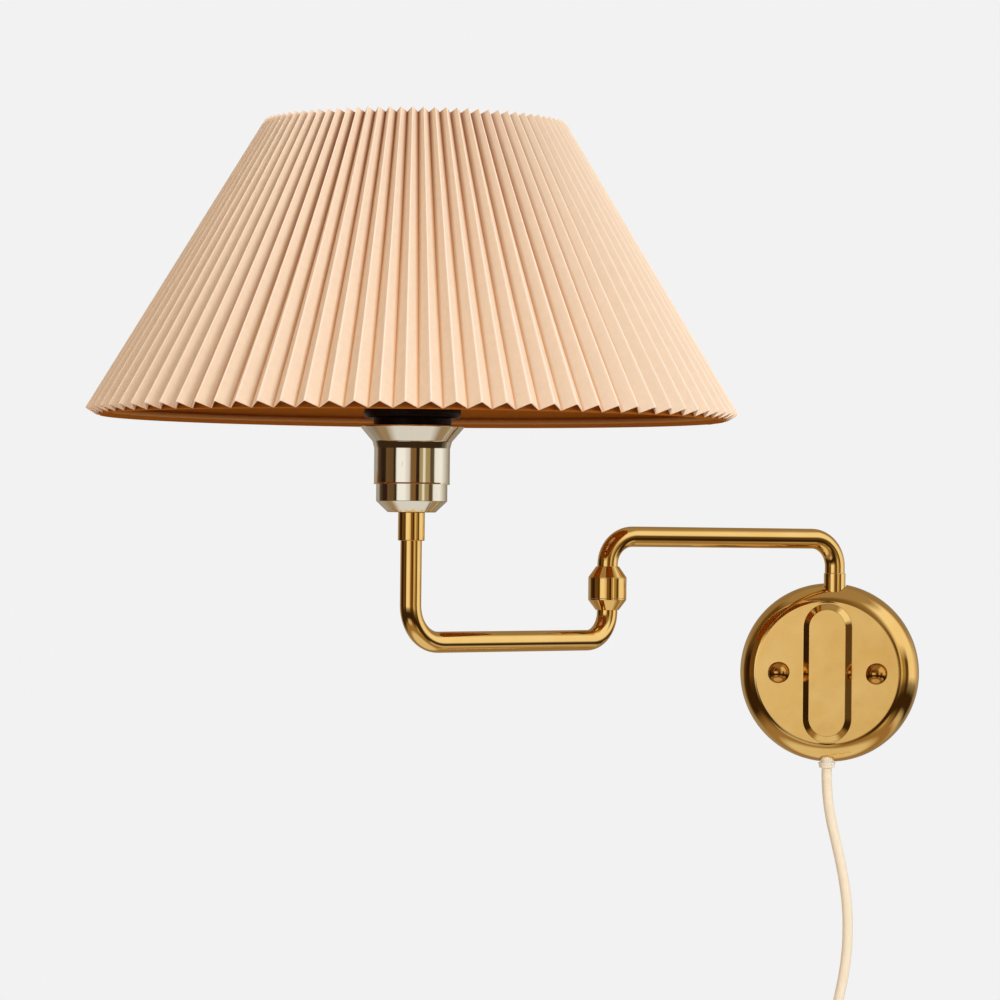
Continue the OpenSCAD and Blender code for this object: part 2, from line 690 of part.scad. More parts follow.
// Lampholder
module stem_collar() {
    color(brass) at_lamp() translate([0, 0, collar_z]) difference() {
        cylinder(d = collar_d, h = collar_h);
        translate([0, 0, -over]) cylinder(d = tube_d + 2 * seat_gap, h = collar_socket + over);
        translate([0, 0, -over]) cylinder(d = nipple_d + 2 * seat_gap, h = collar_h + 2 * over);
    }
}
module holder_nipple() {
    color(steel) at_lamp() translate([0, 0, collar_z + collar_socket])
        ring(nipple_d, pin_bore, collar_h - collar_socket + base_t + nut_h + 1);
}
module holder_base() {
    small_r = base_small_d / 2;
    r = base_d / 2;
    top = base_h + base_neck_h;
    color(nickel) at_lamp() translate([0, 0, base_z]) rotate_extrude() polygon([
        [nipple_d / 2 + seat_gap, 0], [small_r, 0], [r, base_cone_h], [r, top], [r - base_t, top],
        [r - base_t, base_cone_h + 0.4], [small_r - 0.4, base_t], [nipple_d / 2 + seat_gap, base_t]]);
}
module holder_locknut() {
    color(steel) at_lamp() translate([0, 0, base_z + base_t]) hex_nut(nipple_d + 2 * seat_gap);
}
// Sleeve: a turned lip, a slightly widening body, the flare and its rolled edge
module holder_sleeve() {
    inner = base_d / 2 + seat_gap;
    r = holder_d / 2;
    edge_r = flare_edge / 2;
    flare_r = flare_d / 2 - edge_r;
    lip_h = 1.8;
    color(nickel) at_lamp() translate([0, 0, lip_z]) rotate_extrude() {
        polygon([[inner, 0], [lip_d / 2, 0.3], [lip_d / 2, lip_h], [r - 0.3, lip_h + 0.6], [r, holder_h],
            [r + 1.4, holder_h + 1], [flare_r + 0.5, holder_h + flare_h - 0.6],
            [flare_r - 0.5, holder_h + flare_h + 0.3], [r + 0.4, holder_h + 2], [r - sleeve_t, holder_h + 0.6],
            [r - sleeve_t - 0.2, base_neck_h + 1], [inner, base_neck_h]]);
        translate([flare_r, holder_h + flare_h]) circle(r = edge_r, $fn = 32);
    }
}
module lamp_barrel() {
    color(black) at_lamp() translate([0, 0, barrel_z])
        ring(lamp_barrel_d, lamp_barrel_d - 5.4, lamp_barrel_top - barrel_z);
}
module ceramic_core() {
    color(white) at_lamp() translate([0, 0, core_z]) difference() {
        union() {
            cylinder(d = base_d - 2 * base_t - 2 * touch_gap, h = core_flange_h);
            cylinder(d = core_d, h = core_top - core_z);
        }
        for (s = [-1, 1]) translate([s * 11, 0, -over]) cylinder(d = 3.1, h = 9);
    }
}
module contact_screws() {
    color(brass) at_lamp() for (s = [-1, 1]) translate([s * 11, 0, core_z]) {
        translate([0, 0, -1.6]) cylinder(d = 5, h = 1.6);
        translate([0, 0, -0.1]) cylinder(d = 3, h = 7);
    }
}
module centre_contact() {
    color(brass) at_lamp() translate([0, 0, core_top]) {
        cylinder(d = 9, h = 0.6);
        translate([0, 0, 0.5]) cylinder(d1 = 6, d2 = 4, h = contact_h - 0.5);
    }
}
module screw_shell() {
    color(brass) at_lamp() translate([0, 0, shell_z]) ring(2 * cap_r + 1.8, 2 * cap_r + 0.6, shell_h);
}
module shade_ring() {
    bore_r = lamp_barrel_d / 2 + seat_gap;
    r = flange_d / 2;
    round_r = 2;
    low = flange_z - ring_bottom;
    color(black) at_lamp() translate([0, 0, ring_bottom]) rotate_extrude() {
        translate([bore_r, 0]) square([neck_d / 2 - bore_r, low + 0.1]);
        translate([bore_r, low]) square([r - round_r - bore_r, flange_h]);
        translate([bore_r, low + round_r]) square([r - bore_r, flange_h - 2 * round_r]);
        for (z = [low + round_r, low + flange_h - round_r])
            translate([r - round_r, z]) circle(r = round_r, $fn = 32);
    }
}
module clamp_ring() {
    color(black) at_lamp() translate([0, 0, fitter_z + fitter_t + touch_gap])
        ring(clamp_ring_d, lamp_barrel_d + 2 * seat_gap, 5);
}

// Wire frame of the shade: fitter plate, arms and top ring, welded together
module shade_frame() {
    top_r = liner_at(top_wire_z) - wire_in;
    foot_r = fitter_d / 2 - 2;
    rise = top_wire_z - fitter_z - fitter_t / 2;
    lean = atan((top_r - foot_r) / rise);
    color(brass) at_lamp() {
        translate([0, 0, fitter_z]) ring(fitter_d, lamp_barrel_d + 1, fitter_t);
        translate([0, 0, top_wire_z]) rotate_extrude() translate([top_r, 0]) circle(d = wire_d, $fn = 24);
        for (i = [0:spider_arms - 1]) rotate(i * 360 / spider_arms + 60) difference() {
            translate([foot_r, 0, fitter_z + fitter_t / 2]) rotate([0, lean, 0]) translate([0, 0, -3])
                cylinder(d = spider_d, h = norm([rise, top_r - foot_r]) + 3, $fn = 24);
            translate([0, -foot_cut / 2, fitter_z - foot_cut]) cube([fitter_d, foot_cut, foot_cut]);
        }
    }
}
module bottom_wire() {
    color(brass) at_lamp() translate([0, 0, bottom_wire_z])
        rotate_extrude($fn = 180) translate([liner_at(bottom_wire_z) - wire_in, 0])
            circle(d = wire_d, $fn = 24);
}
module shade_liner() {
    in_r = liner_t * out_r;
    in_z = liner_t * out_z;
    color(cream) at_lamp() rotate_extrude($fn = 180) polygon([[liner_r, liner_z], [liner_top_r, liner_top_z],
        [liner_top_r - in_r, liner_top_z - in_z], [liner_r - in_r, liner_z - in_z]]);
}
// Pleats: a zigzag skin between a ridge line and a valley line on the cone
module shade_pleats() {
    n = 2 * pleats;
    ridge = [[ridge_r, shade_z], [ridge_top_r, shade_z + shade_h]];
    valley = [[valley_r, valley_z], [valley_top_r, valley_top_z]];
    inward = [skin_t * out_r, skin_t * out_z];
    function fold(j, e) = j % 2 == 0 ? ridge[e] : valley[e];
    function place(p, j) = [p[0] * cos(360 * j / n), p[0] * sin(360 * j / n), p[1]];
    points = [for (j = [0:n - 1]) each [place(fold(j, 0), j), place(fold(j, 1), j),
        place(fold(j, 0) - inward, j), place(fold(j, 1) - inward, j)]];
    faces = [for (j = [0:n - 1]) let (a = 4 * j, b = 4 * ((j + 1) % n)) each [
        [a, a + 1, b + 1], [a, b + 1, b],
        [a + 2, b + 3, a + 3], [a + 2, b + 2, b + 3],
        [a, b, b + 2], [a, b + 2, a + 2],
        [a + 1, b + 3, b + 1], [a + 1, a + 3, b + 3]]];
    color(peach) at_lamp() polyhedron(points = points, faces = faces);
}

// Bulb
module bulb_cap() {
    color(steel) at_lamp() translate([0, 0, bulb_cap_z]) {
        cylinder(r1 = 5, r2 = 12, h = 3);
        translate([0, 0, 2.9]) cylinder(r = cap_r, h = bulb_cap_h - 2.9);
    }
}
// Half outline of the bulb, shrunk by t: a neck that clears the barrel, a cone and a sphere
module bulb_shape(t) {
    r = bulb_d / 2;
    neck_top = lamp_barrel_top + 1 - bulb_glass_z;
    join_z = bulb_len - 1.6 * r;
    rotate_extrude() {
        polygon([[0, t], [cap_r - t, t], [cap_r + 1.8 - t, neck_top], [0.8 * r - t, join_z], [0, join_z + t]]);
        intersection() {
            translate([0, bulb_len - r]) circle(r = r - t);
            translate([0, join_z - 1]) square([r, bulb_len]);
        }
    }
}
module bulb_glass() {
    color(glass) at_lamp() translate([0, 0, bulb_glass_z]) difference() {
        bulb_shape(0);
        bulb_shape(1);
    }
}

// Cord, switch, coil and plug
module cord_upper() {
    color(white) tube(UPPER_ROUTE, cord_d, 10);
}
module cord_lower() {
    color(white) tube(LOWER_ROUTE, cord_d, 10);
}
module cord_coil() {
    color(white) tube(COIL_ROUTE, cord_d, coil_sides);
}
// Outline of the switch seen from the front, shrunk by t
module switch_shape(t) {
    intersection() {
        rotate(90) bar_shape(switch_len + 10, switch_w - 2 * t);
        square([switch_w, switch_len - 2 * t], center = true);
    }
}
module switch_half(front) {
    half_t = switch_t / 2;
    translate([switch_x, switch_y, switch_z]) rotate([90, 0, front ? 0 : 180]) difference() {
        linear_extrude(half_t) switch_shape(0);
        translate([0, 0, -over]) linear_extrude(half_t - switch_wall + over) switch_shape(switch_wall);
    }
}
screw_d = 3;
boss_d = 7;
screw_reach = switch_len * 0.36;
// Places of the two screws, at the switch's back face
module at_switch_screws() {
    for (s = [-1, 1]) translate([switch_x, switch_y + switch_t / 2, switch_z + s * screw_reach]) children();
}
module switch_back() {
    color(white) difference() {
        union() {
            switch_half(false);
            at_switch_screws() out_of_wall() translate([0, 0, 1]) cylinder(d = boss_d, h = switch_t / 2 - 1);
        }
        at_switch_screws() out_of_wall() translate([0, 0, -over])
            cylinder(d = screw_d + 2 * seat_gap, h = switch_t);
    }
}
rocker_window = 0.4;
hinge_in = 5;
ear_t = 3;
pin_d = 3;
module at_rocker() {
    translate([switch_x, switch_y - switch_t / 2 + hinge_in, switch_z]) children();
}
module switch_front() {
    color(white) difference() {
        union() {
            difference() {
                switch_half(true);
                at_rocker() translate([-rocker_w / 2 - rocker_window, -20, -rocker_len / 2 - 1.3])
                    cube([rocker_w + 2 * rocker_window, 30, rocker_len + 2.6]);
            }
            for (s = [-1, 1]) at_rocker() translate([s * (rocker_w / 2 + rocker_window + ear_t / 2), 1, 0])
                translate([-ear_t / 2, -hinge_in, -4]) cube([ear_t, hinge_in + 2, 8]);
            at_switch_screws() out_of_wall() translate([0, 0, switch_t / 2])
                cylinder(d = boss_d, h = switch_t / 2 - 1);
        }
        at_rocker() rotate([0, 90, 0])
            cylinder(d = pin_d + 2 * run_gap, h = rocker_w + 2 * rocker_window + 2 * ear_t + 0.2, center = true);
        at_switch_screws() out_of_wall() cylinder(d = screw_d + 2 * seat_gap, h = switch_t - switch_wall);
    }
}
module switch_screws() {
    color(steel) at_switch_screws() out_of_wall() cylinder(d = screw_d, h = switch_t - switch_wall - 0.2);
}
module switch_rocker() {
    color(white) at_rocker() rotate([rocker_tilt, 0, 0]) {
        translate([-rocker_w / 2, -hinge_in - 2, -rocker_len / 2]) cube([rocker_w, 6, rocker_len]);
        rotate([0, 90, 0]) cylinder(d = pin_d, h = rocker_w + 2 * rocker_window + 3, center = true);
    }
}
// A strap round all layers of the coil, on the side away from the plug
module coil_tie() {
    strap = 1.2;
    in_r = coil_r - coil_pitch * (coil_turns / 4) - cord_d / 2 - 0.5;
    out_reach = coil_r + cord_d / 2 + 0.3;
    near_y = switch_y + cord_d / 2 + 0.3;
    far_y = plug_y - cord_d / 2 - 0.3;
    color(black) translate([coil_x, 0, coil_z - 4]) difference() {
        translate([-out_reach - strap, far_y - strap, 0])
            cube([out_reach - in_r + 2 * strap, near_y - far_y + 2 * strap, 8]);
        translate([-out_reach, far_y, -over]) cube([out_reach - in_r, near_y - far_y, 8 + 2 * over]);
    }
}
plug_shoulder = 12;
plug_taper = 5;
module plug_body() {
    color(white) translate([plug_x, plug_y, 0]) {
        translate([0, 0, plug_top - 0.1]) cylinder(d1 = 10.4, d2 = 8.4, h = guard_len + 0.1);
        translate([0, plug_t / 2, 0]) out_of_wall() linear_extrude(plug_t) polygon([
            [-6, plug_top], [6, plug_top],
            [plug_w / 2, plug_top - plug_shoulder], [plug_w / 2, plug_bottom + plug_taper],
            [plug_w / 2 - 2, plug_bottom], [2 - plug_w / 2, plug_bottom],
            [-plug_w / 2, plug_bottom + plug_taper], [-plug_w / 2, plug_top - plug_shoulder]]);
    }
}
module plug_pins() {
    color(nickel) for (s = [-1, 1])
        translate([plug_x + s * prong_pitch / 2, plug_y, plug_bottom - prong_len]) {
        translate([0, 0, 1.5]) cylinder(d = 4, h = prong_len - 1.5);
        cylinder(d1 = 2, d2 = 4, h = 1.5);
    }
}

wall_bracket();
cover_studs();
pivot_sleeve();
wall_cover();
domed_nuts();
terminal_block();
terminal_screws();
cord_clamp();
clamp_screws();
cord_bush();
cord_inner();
flex_wall();
upper_arm();
wall_spigot();
pivot_washer();
pivot_nut();
knuckle_cap();
knuckle_barrel();
flex_upper();
elbow_pin();
elbow_washer();
elbow_nut();
knuckle_foot();
lower_arm();
flex_lower();
stem_collar();
holder_nipple();
holder_base();
holder_locknut();
holder_sleeve();
lamp_barrel();
ceramic_core();
contact_screws();
centre_contact();
screw_shell();
shade_ring();
clamp_ring();
shade_frame();
bottom_wire();
shade_liner();
shade_pleats();
bulb_cap();
bulb_glass();
cord_upper();
switch_back();
switch_front();
switch_screws();
switch_rocker();
cord_lower();
cord_coil();
coil_tie();
plug_body();
plug_pins();
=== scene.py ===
"""Two-arm brass wall light with a pleated shade: camera, visible pieces, materials and studio.

Lengths in the tables are millimetres and are turned into metres where a mesh is made.
The part's own frame is used throughout: +Z up, -Y out of the wall, +X right.
"""

import math
from math import atan2, cos, hypot, pi, radians, sin, tau

import bmesh
import bpy
from mathutils import Matrix, Vector, noise


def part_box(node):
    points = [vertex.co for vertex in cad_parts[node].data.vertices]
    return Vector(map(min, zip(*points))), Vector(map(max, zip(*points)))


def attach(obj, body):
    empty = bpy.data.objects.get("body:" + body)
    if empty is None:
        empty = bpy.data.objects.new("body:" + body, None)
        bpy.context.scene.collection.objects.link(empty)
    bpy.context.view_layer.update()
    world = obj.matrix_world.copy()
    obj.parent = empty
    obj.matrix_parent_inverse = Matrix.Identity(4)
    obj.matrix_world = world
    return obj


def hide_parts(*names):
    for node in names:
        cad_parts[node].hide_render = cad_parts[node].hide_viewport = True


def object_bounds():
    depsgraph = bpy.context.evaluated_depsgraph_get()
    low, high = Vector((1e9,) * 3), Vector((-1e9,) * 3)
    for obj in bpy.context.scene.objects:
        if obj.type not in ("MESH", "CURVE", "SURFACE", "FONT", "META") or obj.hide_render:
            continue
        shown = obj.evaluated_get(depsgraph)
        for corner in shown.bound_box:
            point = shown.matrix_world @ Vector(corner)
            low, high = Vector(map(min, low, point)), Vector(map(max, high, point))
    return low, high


MM = 0.001

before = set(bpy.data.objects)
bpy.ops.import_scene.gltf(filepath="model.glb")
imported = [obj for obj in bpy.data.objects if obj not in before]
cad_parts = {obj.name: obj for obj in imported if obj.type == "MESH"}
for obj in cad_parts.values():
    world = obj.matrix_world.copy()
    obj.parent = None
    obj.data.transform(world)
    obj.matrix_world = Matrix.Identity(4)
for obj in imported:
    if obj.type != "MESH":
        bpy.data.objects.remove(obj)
cad_box = [list(corner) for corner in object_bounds()]


# Places read from the frame


def span(node):
    """Lowest and highest height of a CAD node in millimetres."""
    low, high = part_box(node)
    return low.z / MM, high.z / MM


def upright_axis(node):
    """Where the upright axis of a round node crosses the ground plane."""
    low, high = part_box(node)
    centre = (low + high) / 2
    return Vector((centre.x, centre.y, 0))


WALL_AXIS = upright_axis("pivot_sleeve")
ELBOW_AXIS = upright_axis("knuckle_barrel")
LAMP_AXIS = upright_axis("holder_sleeve")
LOWER_ANGLE = atan2(*(LAMP_AXIS - ELBOW_AXIS).normalized().yx)
ROOT, UPPER, LOWER = "root", "upper_arm_body", "lower_arm_body"


def radius_of(node, axis=LAMP_AXIS):
    """How far a round CAD node reaches past an upright axis, in millimetres."""
    return (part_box(node)[1].x - axis.x) / MM


# Sizes of the shade

PLEATS = 86
RIDGE_R, RIDGE_TOP_R, SHADE_H = 176.7, 81.7, 157
PLEAT_DEPTH, PLEAT_TOP_DEPTH = 6.5, 5.0
SKIN, LINER_T, SKIN_GAP, LINER_HEM = 0.8, 0.8, 0.3, -0.6
LAP = 0.35  # what a second layer adds at the liner's hems and seam
SHADE_ROWS = 14
FOLD_STOPS = (0.0, 0.04, 0.3, 0.6, 0.93)  # shares of a face, from its ridge to its valley
CONE = math.atan((RIDGE_R - RIDGE_TOP_R) / SHADE_H)


def shade_bottom():
    """Height of the ridges' lower ends."""
    return span("shade_pleats")[1] - SHADE_H


# Camera

CAMERA_PLACE = Vector((0.1799, -2.3802, 0.075))
CAMERA_SIDE = atan2(*(CAMERA_PLACE - LAMP_AXIS).yx)  # from the shade, about +Z
CAMERA_TURN = radians(9)  # to the left of straight at the wall
CAMERA_RISE = radians(0.58)
CAMERA_ROLL = radians(0.6)
CAMERA_LENS = 145.8


def make_camera():
    data = bpy.data.cameras.new("camera")
    data.lens, data.sensor_width = CAMERA_LENS, 36
    data.clip_start, data.clip_end = 0.1, 50
    camera = in_scene("camera", data)
    look = polar(cos(CAMERA_RISE), CAMERA_TURN + pi / 2, sin(CAMERA_RISE))
    turn = look.to_track_quat("-Z", "Y").to_matrix().to_4x4()
    roll = Matrix.Rotation(CAMERA_ROLL, 4, "Z")
    camera.matrix_world = Matrix.Translation(CAMERA_PLACE) @ turn @ roll
    bpy.context.scene.camera = camera


# Mesh helpers


def in_scene(name, data):
    """A new object in the scene."""
    obj = bpy.data.objects.new(name, data)
    bpy.context.scene.collection.objects.link(obj)
    return obj


def polar(radius, angle, height=0):
    return Vector((radius * cos(angle), radius * sin(angle), height))


def circle_angles(count):
    return [tau * k / count for k in range(count)]


def skin(points, count, closed=True):
    """Faces over rings of count points: closed from the last ring to the first, or with ends."""
    faces, total = [], len(points)
    for a in range(0, total if closed else total - count, count):
        b = (a + count) % total
        for k in range(count):
            n = (k + 1) % count
            faces.append([a + k, a + n, b + n, b + k])
    return faces if closed else [*faces, list(range(count)), list(range(total - count, total))]


def smooth(obj, sharp=35):
    """Shades a mesh smooth, apart from edges sharper than an angle in degrees."""
    obj.data.shade_smooth()
    obj.data.set_sharp_from_angle(angle=radians(sharp))


def new_object(name, points, faces, sharp=35):
    """A smooth mesh object from points in metres, its normals facing outwards."""
    mesh = bpy.data.meshes.new(name)
    mesh.from_pydata([tuple(p) for p in points], [], faces)
    mesh.validate()
    obj = in_scene(name, mesh)
    work = bmesh.new()
    work.from_mesh(mesh)
    bmesh.ops.recalc_face_normals(work, faces=work.faces)
    work.to_mesh(mesh)
    work.free()
    smooth(obj, sharp)
    return obj


def rounded(corners, steps=4):
    """Closed outline through corners (x, y) or (x, y, radius), with an arc at each radius."""
    outline = []
    for i, corner in enumerate(corners):
        here = Vector(corner[:2])
        radius = corner[2] if len(corner) > 2 else 0
        if not radius:
            outline.append(here)
            continue
        back = Vector(corners[i - 1][:2]) - here
        ahead = Vector(corners[(i + 1) % len(corners)][:2]) - here
        run = min(
            radius / math.tan(back.angle(ahead) / 2), 0.48 * back.length, 0.48 * ahead.length
        )
        start, end = here + back.normalized() * run, here + ahead.normalized() * run
        for k in range(steps + 1):
            t = k / steps
            outline.append(start * (1 - t) ** 2 + here * (2 * t * (1 - t)) + end * t**2)
    return outline


def arc(centre, radius, start, end, steps):
    """Points on an arc, angles in degrees."""
    x, y = centre
    turns = [radians(start + (end - start) * k / steps) for k in range(steps + 1)]
    return [(x + radius * cos(a), y + radius * sin(a)) for a in turns]


def lathe(name, outline, axis, steps=96, out_of_wall=False):
    """Turns a closed outline of (radius, height) in millimetres round an upright axis.

    With out_of_wall the axis runs out of the wall instead, and heights count from the wall.
    """
    points, rings = [], []
    for radius, height in outline:
        ring = [Vector((0, 0, height))]
        if radius >= 1e-4:
            ring = [polar(radius, a, height) for a in circle_angles(steps)]
        rings.append(range(len(points), len(points) + len(ring)))
        points += ring
    faces = []
    for near, far in zip(rings, rings[1:] + rings[:1]):
        for k in range(steps):
            corners = ((near, k), (near, k + 1), (far, k + 1), (far, k))
            face = list(dict.fromkeys(ring[place % len(ring)] for ring, place in corners))
            if len(face) > 2:
                faces.append(face)
    if out_of_wall:
        points = [Vector((p.x, -p.z, p.y)) for p in points]
    return new_object(name, [p * MM + axis for p in points], faces)


def sweep(name, route, radius, bore, sides=48):
    """A pipe along points in metres; radius and bore in metres too."""
    last = len(route) - 1
    along = [
        (route[min(i + 1, last)] - route[max(i - 1, 0)]).normalized() for i in range(last + 1)
    ]
    side = along[0].orthogonal().normalized()
    stations = []
    for place, ahead in zip(route, along):
        side = (side - ahead * side.dot(ahead)).normalized()
        stations.append((place, side, ahead.cross(side)))
    points = []
    for r, run in ((radius, stations), (bore, stations[::-1])):
        for place, u, v in run:
            points += [place + r * (cos(a) * u + sin(a) * v) for a in circle_angles(sides)]
    return new_object(name, points, skin(points, sides))


def cut(obj, cutters):
    """Cuts the cutters out of obj and removes them."""
    for cutter in cutters:
        step = obj.modifiers.new("cut", "BOOLEAN")
        step.operation, step.solver, step.object = "DIFFERENCE", "EXACT", cutter
        graph = bpy.context.evaluated_depsgraph_get()
        mesh = bpy.data.meshes.new_from_object(obj.evaluated_get(graph))
        obj.modifiers.clear()
        obj.data = mesh
        bpy.data.objects.remove(cutter)
    smooth(obj)


def block(low, high):
    """An axis-aligned block between two corners in millimetres."""
    xs, ys, zs = zip(low, high)
    points = [Vector((x, y, z)) * MM for x in xs for y in ys for z in zs]
    faces = [[0, 1, 3, 2], [4, 6, 7, 5], [0, 4, 5, 1], [2, 3, 7, 6], [0, 2, 6, 4], [1, 5, 7, 3]]
    return new_object("block", points, faces)


def rod(place, radius, low, high):
    """An upright round rod in millimetres."""
    outline = [(0, low), (radius, low), (radius, high), (0, high)]
    return lathe("rod", outline, Vector((*place, 0)) * MM, 48)


def soften(obj, width):
    """Rounds the sharp edges of a CAD node with a bevel modifier; width in millimetres."""
    bevel = obj.modifiers.new("soften", "BEVEL")
    bevel.width, bevel.segments = width * MM, 3
    bevel.limit_method, bevel.angle_limit = "ANGLE", radians(40)
    bevel.use_clamp_overlap = bevel.harden_normals = True


# Material helpers


def add(tree, kind, settings=None, **inputs):
    """Adds a shader node and returns its outputs.

    Inputs are values or sockets, named with _ for a space or by number as i0, i1.
    """
    made = tree.nodes.new("ShaderNode" + kind)
    for key, value in (settings or {}).items():
        setattr(made, key, value)
    for key, value in inputs.items():
        socket = made.inputs[int(key[1:]) if key[1:].isdigit() else key.replace("_", " ")]
        if isinstance(value, bpy.types.NodeSocket):
            tree.links.new(value, socket)
        else:
            socket.default_value = value
    return made.outputs


def calc(tree, operation, first, second):
    """Result of a Math node."""
    return add(tree, "Math", {"operation": operation}, i0=first, i1=second)[0]


def mixed(tree, factor, first, second):
    """Colour between two colours or colour sockets."""
    first, second = shade_of(first), shade_of(second)
    return add(tree, "Mix", {"data_type": "RGBA"}, i0=factor, i6=first, i7=second)[2]


def ramp(tree, value, stops):
    """Colour ramp over stops of (position, colour)."""
    colour = add(tree, "ValToRGB", Fac=value)["Color"]
    elements = colour.node.color_ramp.elements
    for end, (position, stop) in zip(elements, (stops[0], stops[-1])):
        end.position, end.color = position, shade_of(stop)
    for position, stop in stops[1:-1]:
        elements.new(position).color = shade_of(stop)
    return colour


def toned(colour, *parts):
    """A colour with its channels, or all of it, multiplied."""
    return tuple(c * part for c, part in zip(colour, parts if len(parts) > 1 else 3 * parts))


def shade_of(colour):
    """RGBA from a grey level or an RGB triple; a socket stays as it is."""
    if isinstance(colour, bpy.types.NodeSocket):
        return colour
    return (*colour, 1) if isinstance(colour, tuple) else (colour, colour, colour, 1)


def own_place(tree):
    return add(tree, "TexCoord")["Object"]


def grain(tree, scale, detail=3.0, roughness=0.5, stretch=(1, 1, 1), distortion=0.0):
    """Noise value with features of about 1 / scale metres, stretched on each axis."""
    place = add(tree, "Mapping", Vector=own_place(tree), Scale=stretch)[0]
    settings = {"Detail": detail, "Roughness": roughness, "Distortion": distortion}
    return add(tree, "TexNoise", Vector=place, Scale=scale, **settings)[0]


def spread(tree, value, low, high, to_low=0.0, to_high=1.0):
    """Maps a value from one range to another, clamped."""
    return add(tree, "MapRange", i0=value, i1=low, i2=high, i3=to_low, i4=to_high)[0]


def bump(tree, height, strength, distance, **under):
    """Normal from a height, on top of another normal given as Normal."""
    return add(tree, "Bump", Height=height, Strength=strength, Distance=distance, **under)[0]


def new_material(name, **sockets):
    """Material with a Principled shader, its named sockets set to values."""
    material = bpy.data.materials.new(name)
    material.use_nodes = True
    tree = material.node_tree
    bsdf = tree.nodes["Principled BSDF"]
    for key, value in sockets.items():
        bsdf.inputs[key.replace("_", " ")].default_value = value
    return material, tree, bsdf


def bare_material(name):
    """Material with an empty node tree."""
    material, tree, _ = new_material(name)
    tree.nodes.clear()
    return material, tree


def feed(tree, bsdf, **sockets):
    """Links sockets to the shader's named inputs."""
    for key, value in sockets.items():
        tree.links.new(value, bsdf.inputs[key.replace("_", " ")])


def paint(obj, material, slot=None):
    """Gives a piece or CAD node its material; a piece with a slot gets even normals too."""
    obj.data.materials.clear()
    obj.data.materials.append(material)
    if slot:
        even = obj.modifiers.new("even", "WEIGHTED_NORMAL")
        even.mode, even.keep_sharp = "FACE_AREA", True
    return obj


def stand_in(piece, node, body, material, slot):
    """Makes a piece stand for a CAD node on its body, with its material, and even normals where a
    slot is given.
    """
    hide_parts(node)
    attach(piece, body)
    return paint(piece, material, slot)


# Materials

BRASS = (0.94, 0.64, 0.24)
BRASS_DEEP = (0.86, 0.53, 0.16)
NICKEL = (0.9, 0.86, 0.78)


def brass(name, roughness, cloud, scratches=0.03, tone=BRASS):
    """Polished brass: a clouded tone, fine rubbing marks and a slight unevenness."""
    material, tree, bsdf = new_material(name, Metallic=1.0)
    clouds = spread(tree, grain(tree, 45, 4, distortion=0.5), 0.3, 0.7, 0.0, cloud)
    worn = spread(tree, grain(tree, 160, 5, 0.6), 0.35, 0.7, 0.7 * roughness, 1.4 * roughness)
    soft = bump(tree, grain(tree, 60, 2), 0.06, 0.0004)
    lines = bump(tree, grain(tree, 900, 2, 0.6, (1, 1, 0.08)), scratches, 0.00003, Normal=soft)
    colour = mixed(tree, clouds, tone, toned(tone, 0.91, 0.83, 0.67))
    feed(tree, bsdf, Base_Color=colour, Roughness=worn, Normal=lines)
    return material


def worn_nickel():
    """Nickel plate that has worn through to brass where marked, with a few dark specks."""
    material, tree, bsdf = new_material("worn_nickel", Metallic=1.0)
    specks = spread(tree, grain(tree, 420, 3, 0.6), 0.73, 0.76, 0.0, 0.85)
    scuffs = spread(tree, grain(tree, 700, 2, 0.5, (1, 1, 0.15)), 0.72, 0.76, 0.0, 0.5)
    edge = add(tree, "Attribute", {"attribute_name": "wear"})["Fac"]
    ragged = calc(tree, "MULTIPLY", edge, grain(tree, 480, 5, 0.7))
    bared = spread(tree, ragged, 0.36, 0.46)
    shown = mixed(tree, grain(tree, 60, 3), NICKEL, (0.86, 0.81, 0.71))
    shown = mixed(tree, bared, shown, BRASS_DEEP)
    shown = mixed(tree, scuffs, shown, (0.55, 0.36, 0.14))
    shown = mixed(tree, specks, shown, (0.1, 0.05, 0.02))
    rough = spread(tree, grain(tree, 300, 5, 0.6), 0.3, 0.75, 0.02, 0.07)
    dents = bump(tree, grain(tree, 45, 2), 0.1, 0.0005)
    lines = bump(tree, grain(tree, 1100, 2, 0.6, (1, 1, 0.06)), 0.08, 0.00003, Normal=dents)
    feed(tree, bsdf, Base_Color=shown, Roughness=rough, Normal=lines)
    return material


def mottled(name, tones, patches, fine, rough=None, **sockets):
    """Two tones in patches, a finely uneven surface, and a roughness that may vary.

    patches are the grain's settings. fine and rough start with a grain's scale and detail, and
    end with the bump's strength and distance, or with the least and the most roughness.
    """
    material, tree, bsdf = new_material(name, **sockets)
    tone = mixed(tree, grain(tree, *patches), *tones)
    feed(tree, bsdf, Base_Color=tone, Normal=bump(tree, grain(tree, *fine[:2]), *fine[2:]))
    if rough:
        feed(tree, bsdf, Roughness=spread(tree, grain(tree, *rough[:2]), 0.3, 0.7, *rough[2:]))
    return material


def black_moulding(name, colour, roughness):
    tones = (colour, toned(colour, 2.2))
    rough = (700, 4, 0.8 * roughness, 1.4 * roughness)
    fine = (800, 3, 0.1, 0.00005)
    return mottled(name, tones, (240, 4), fine, rough, IOR=1.45, Specular_IOR_Level=0.12)


FABRIC = (0.94, 0.81, 0.66)
# Painted shade for the pleats' valleys, low and high on the shade, and a painted highlight colour
# for the ridges
VALLEY_SHADE_LOW = (0.8, 0.42, 0.15)
VALLEY_SHADE_HIGH = (0.4, 0.13, 0.02)
RIDGE_HIGHLIGHT = (1.0, 0.93, 0.83)


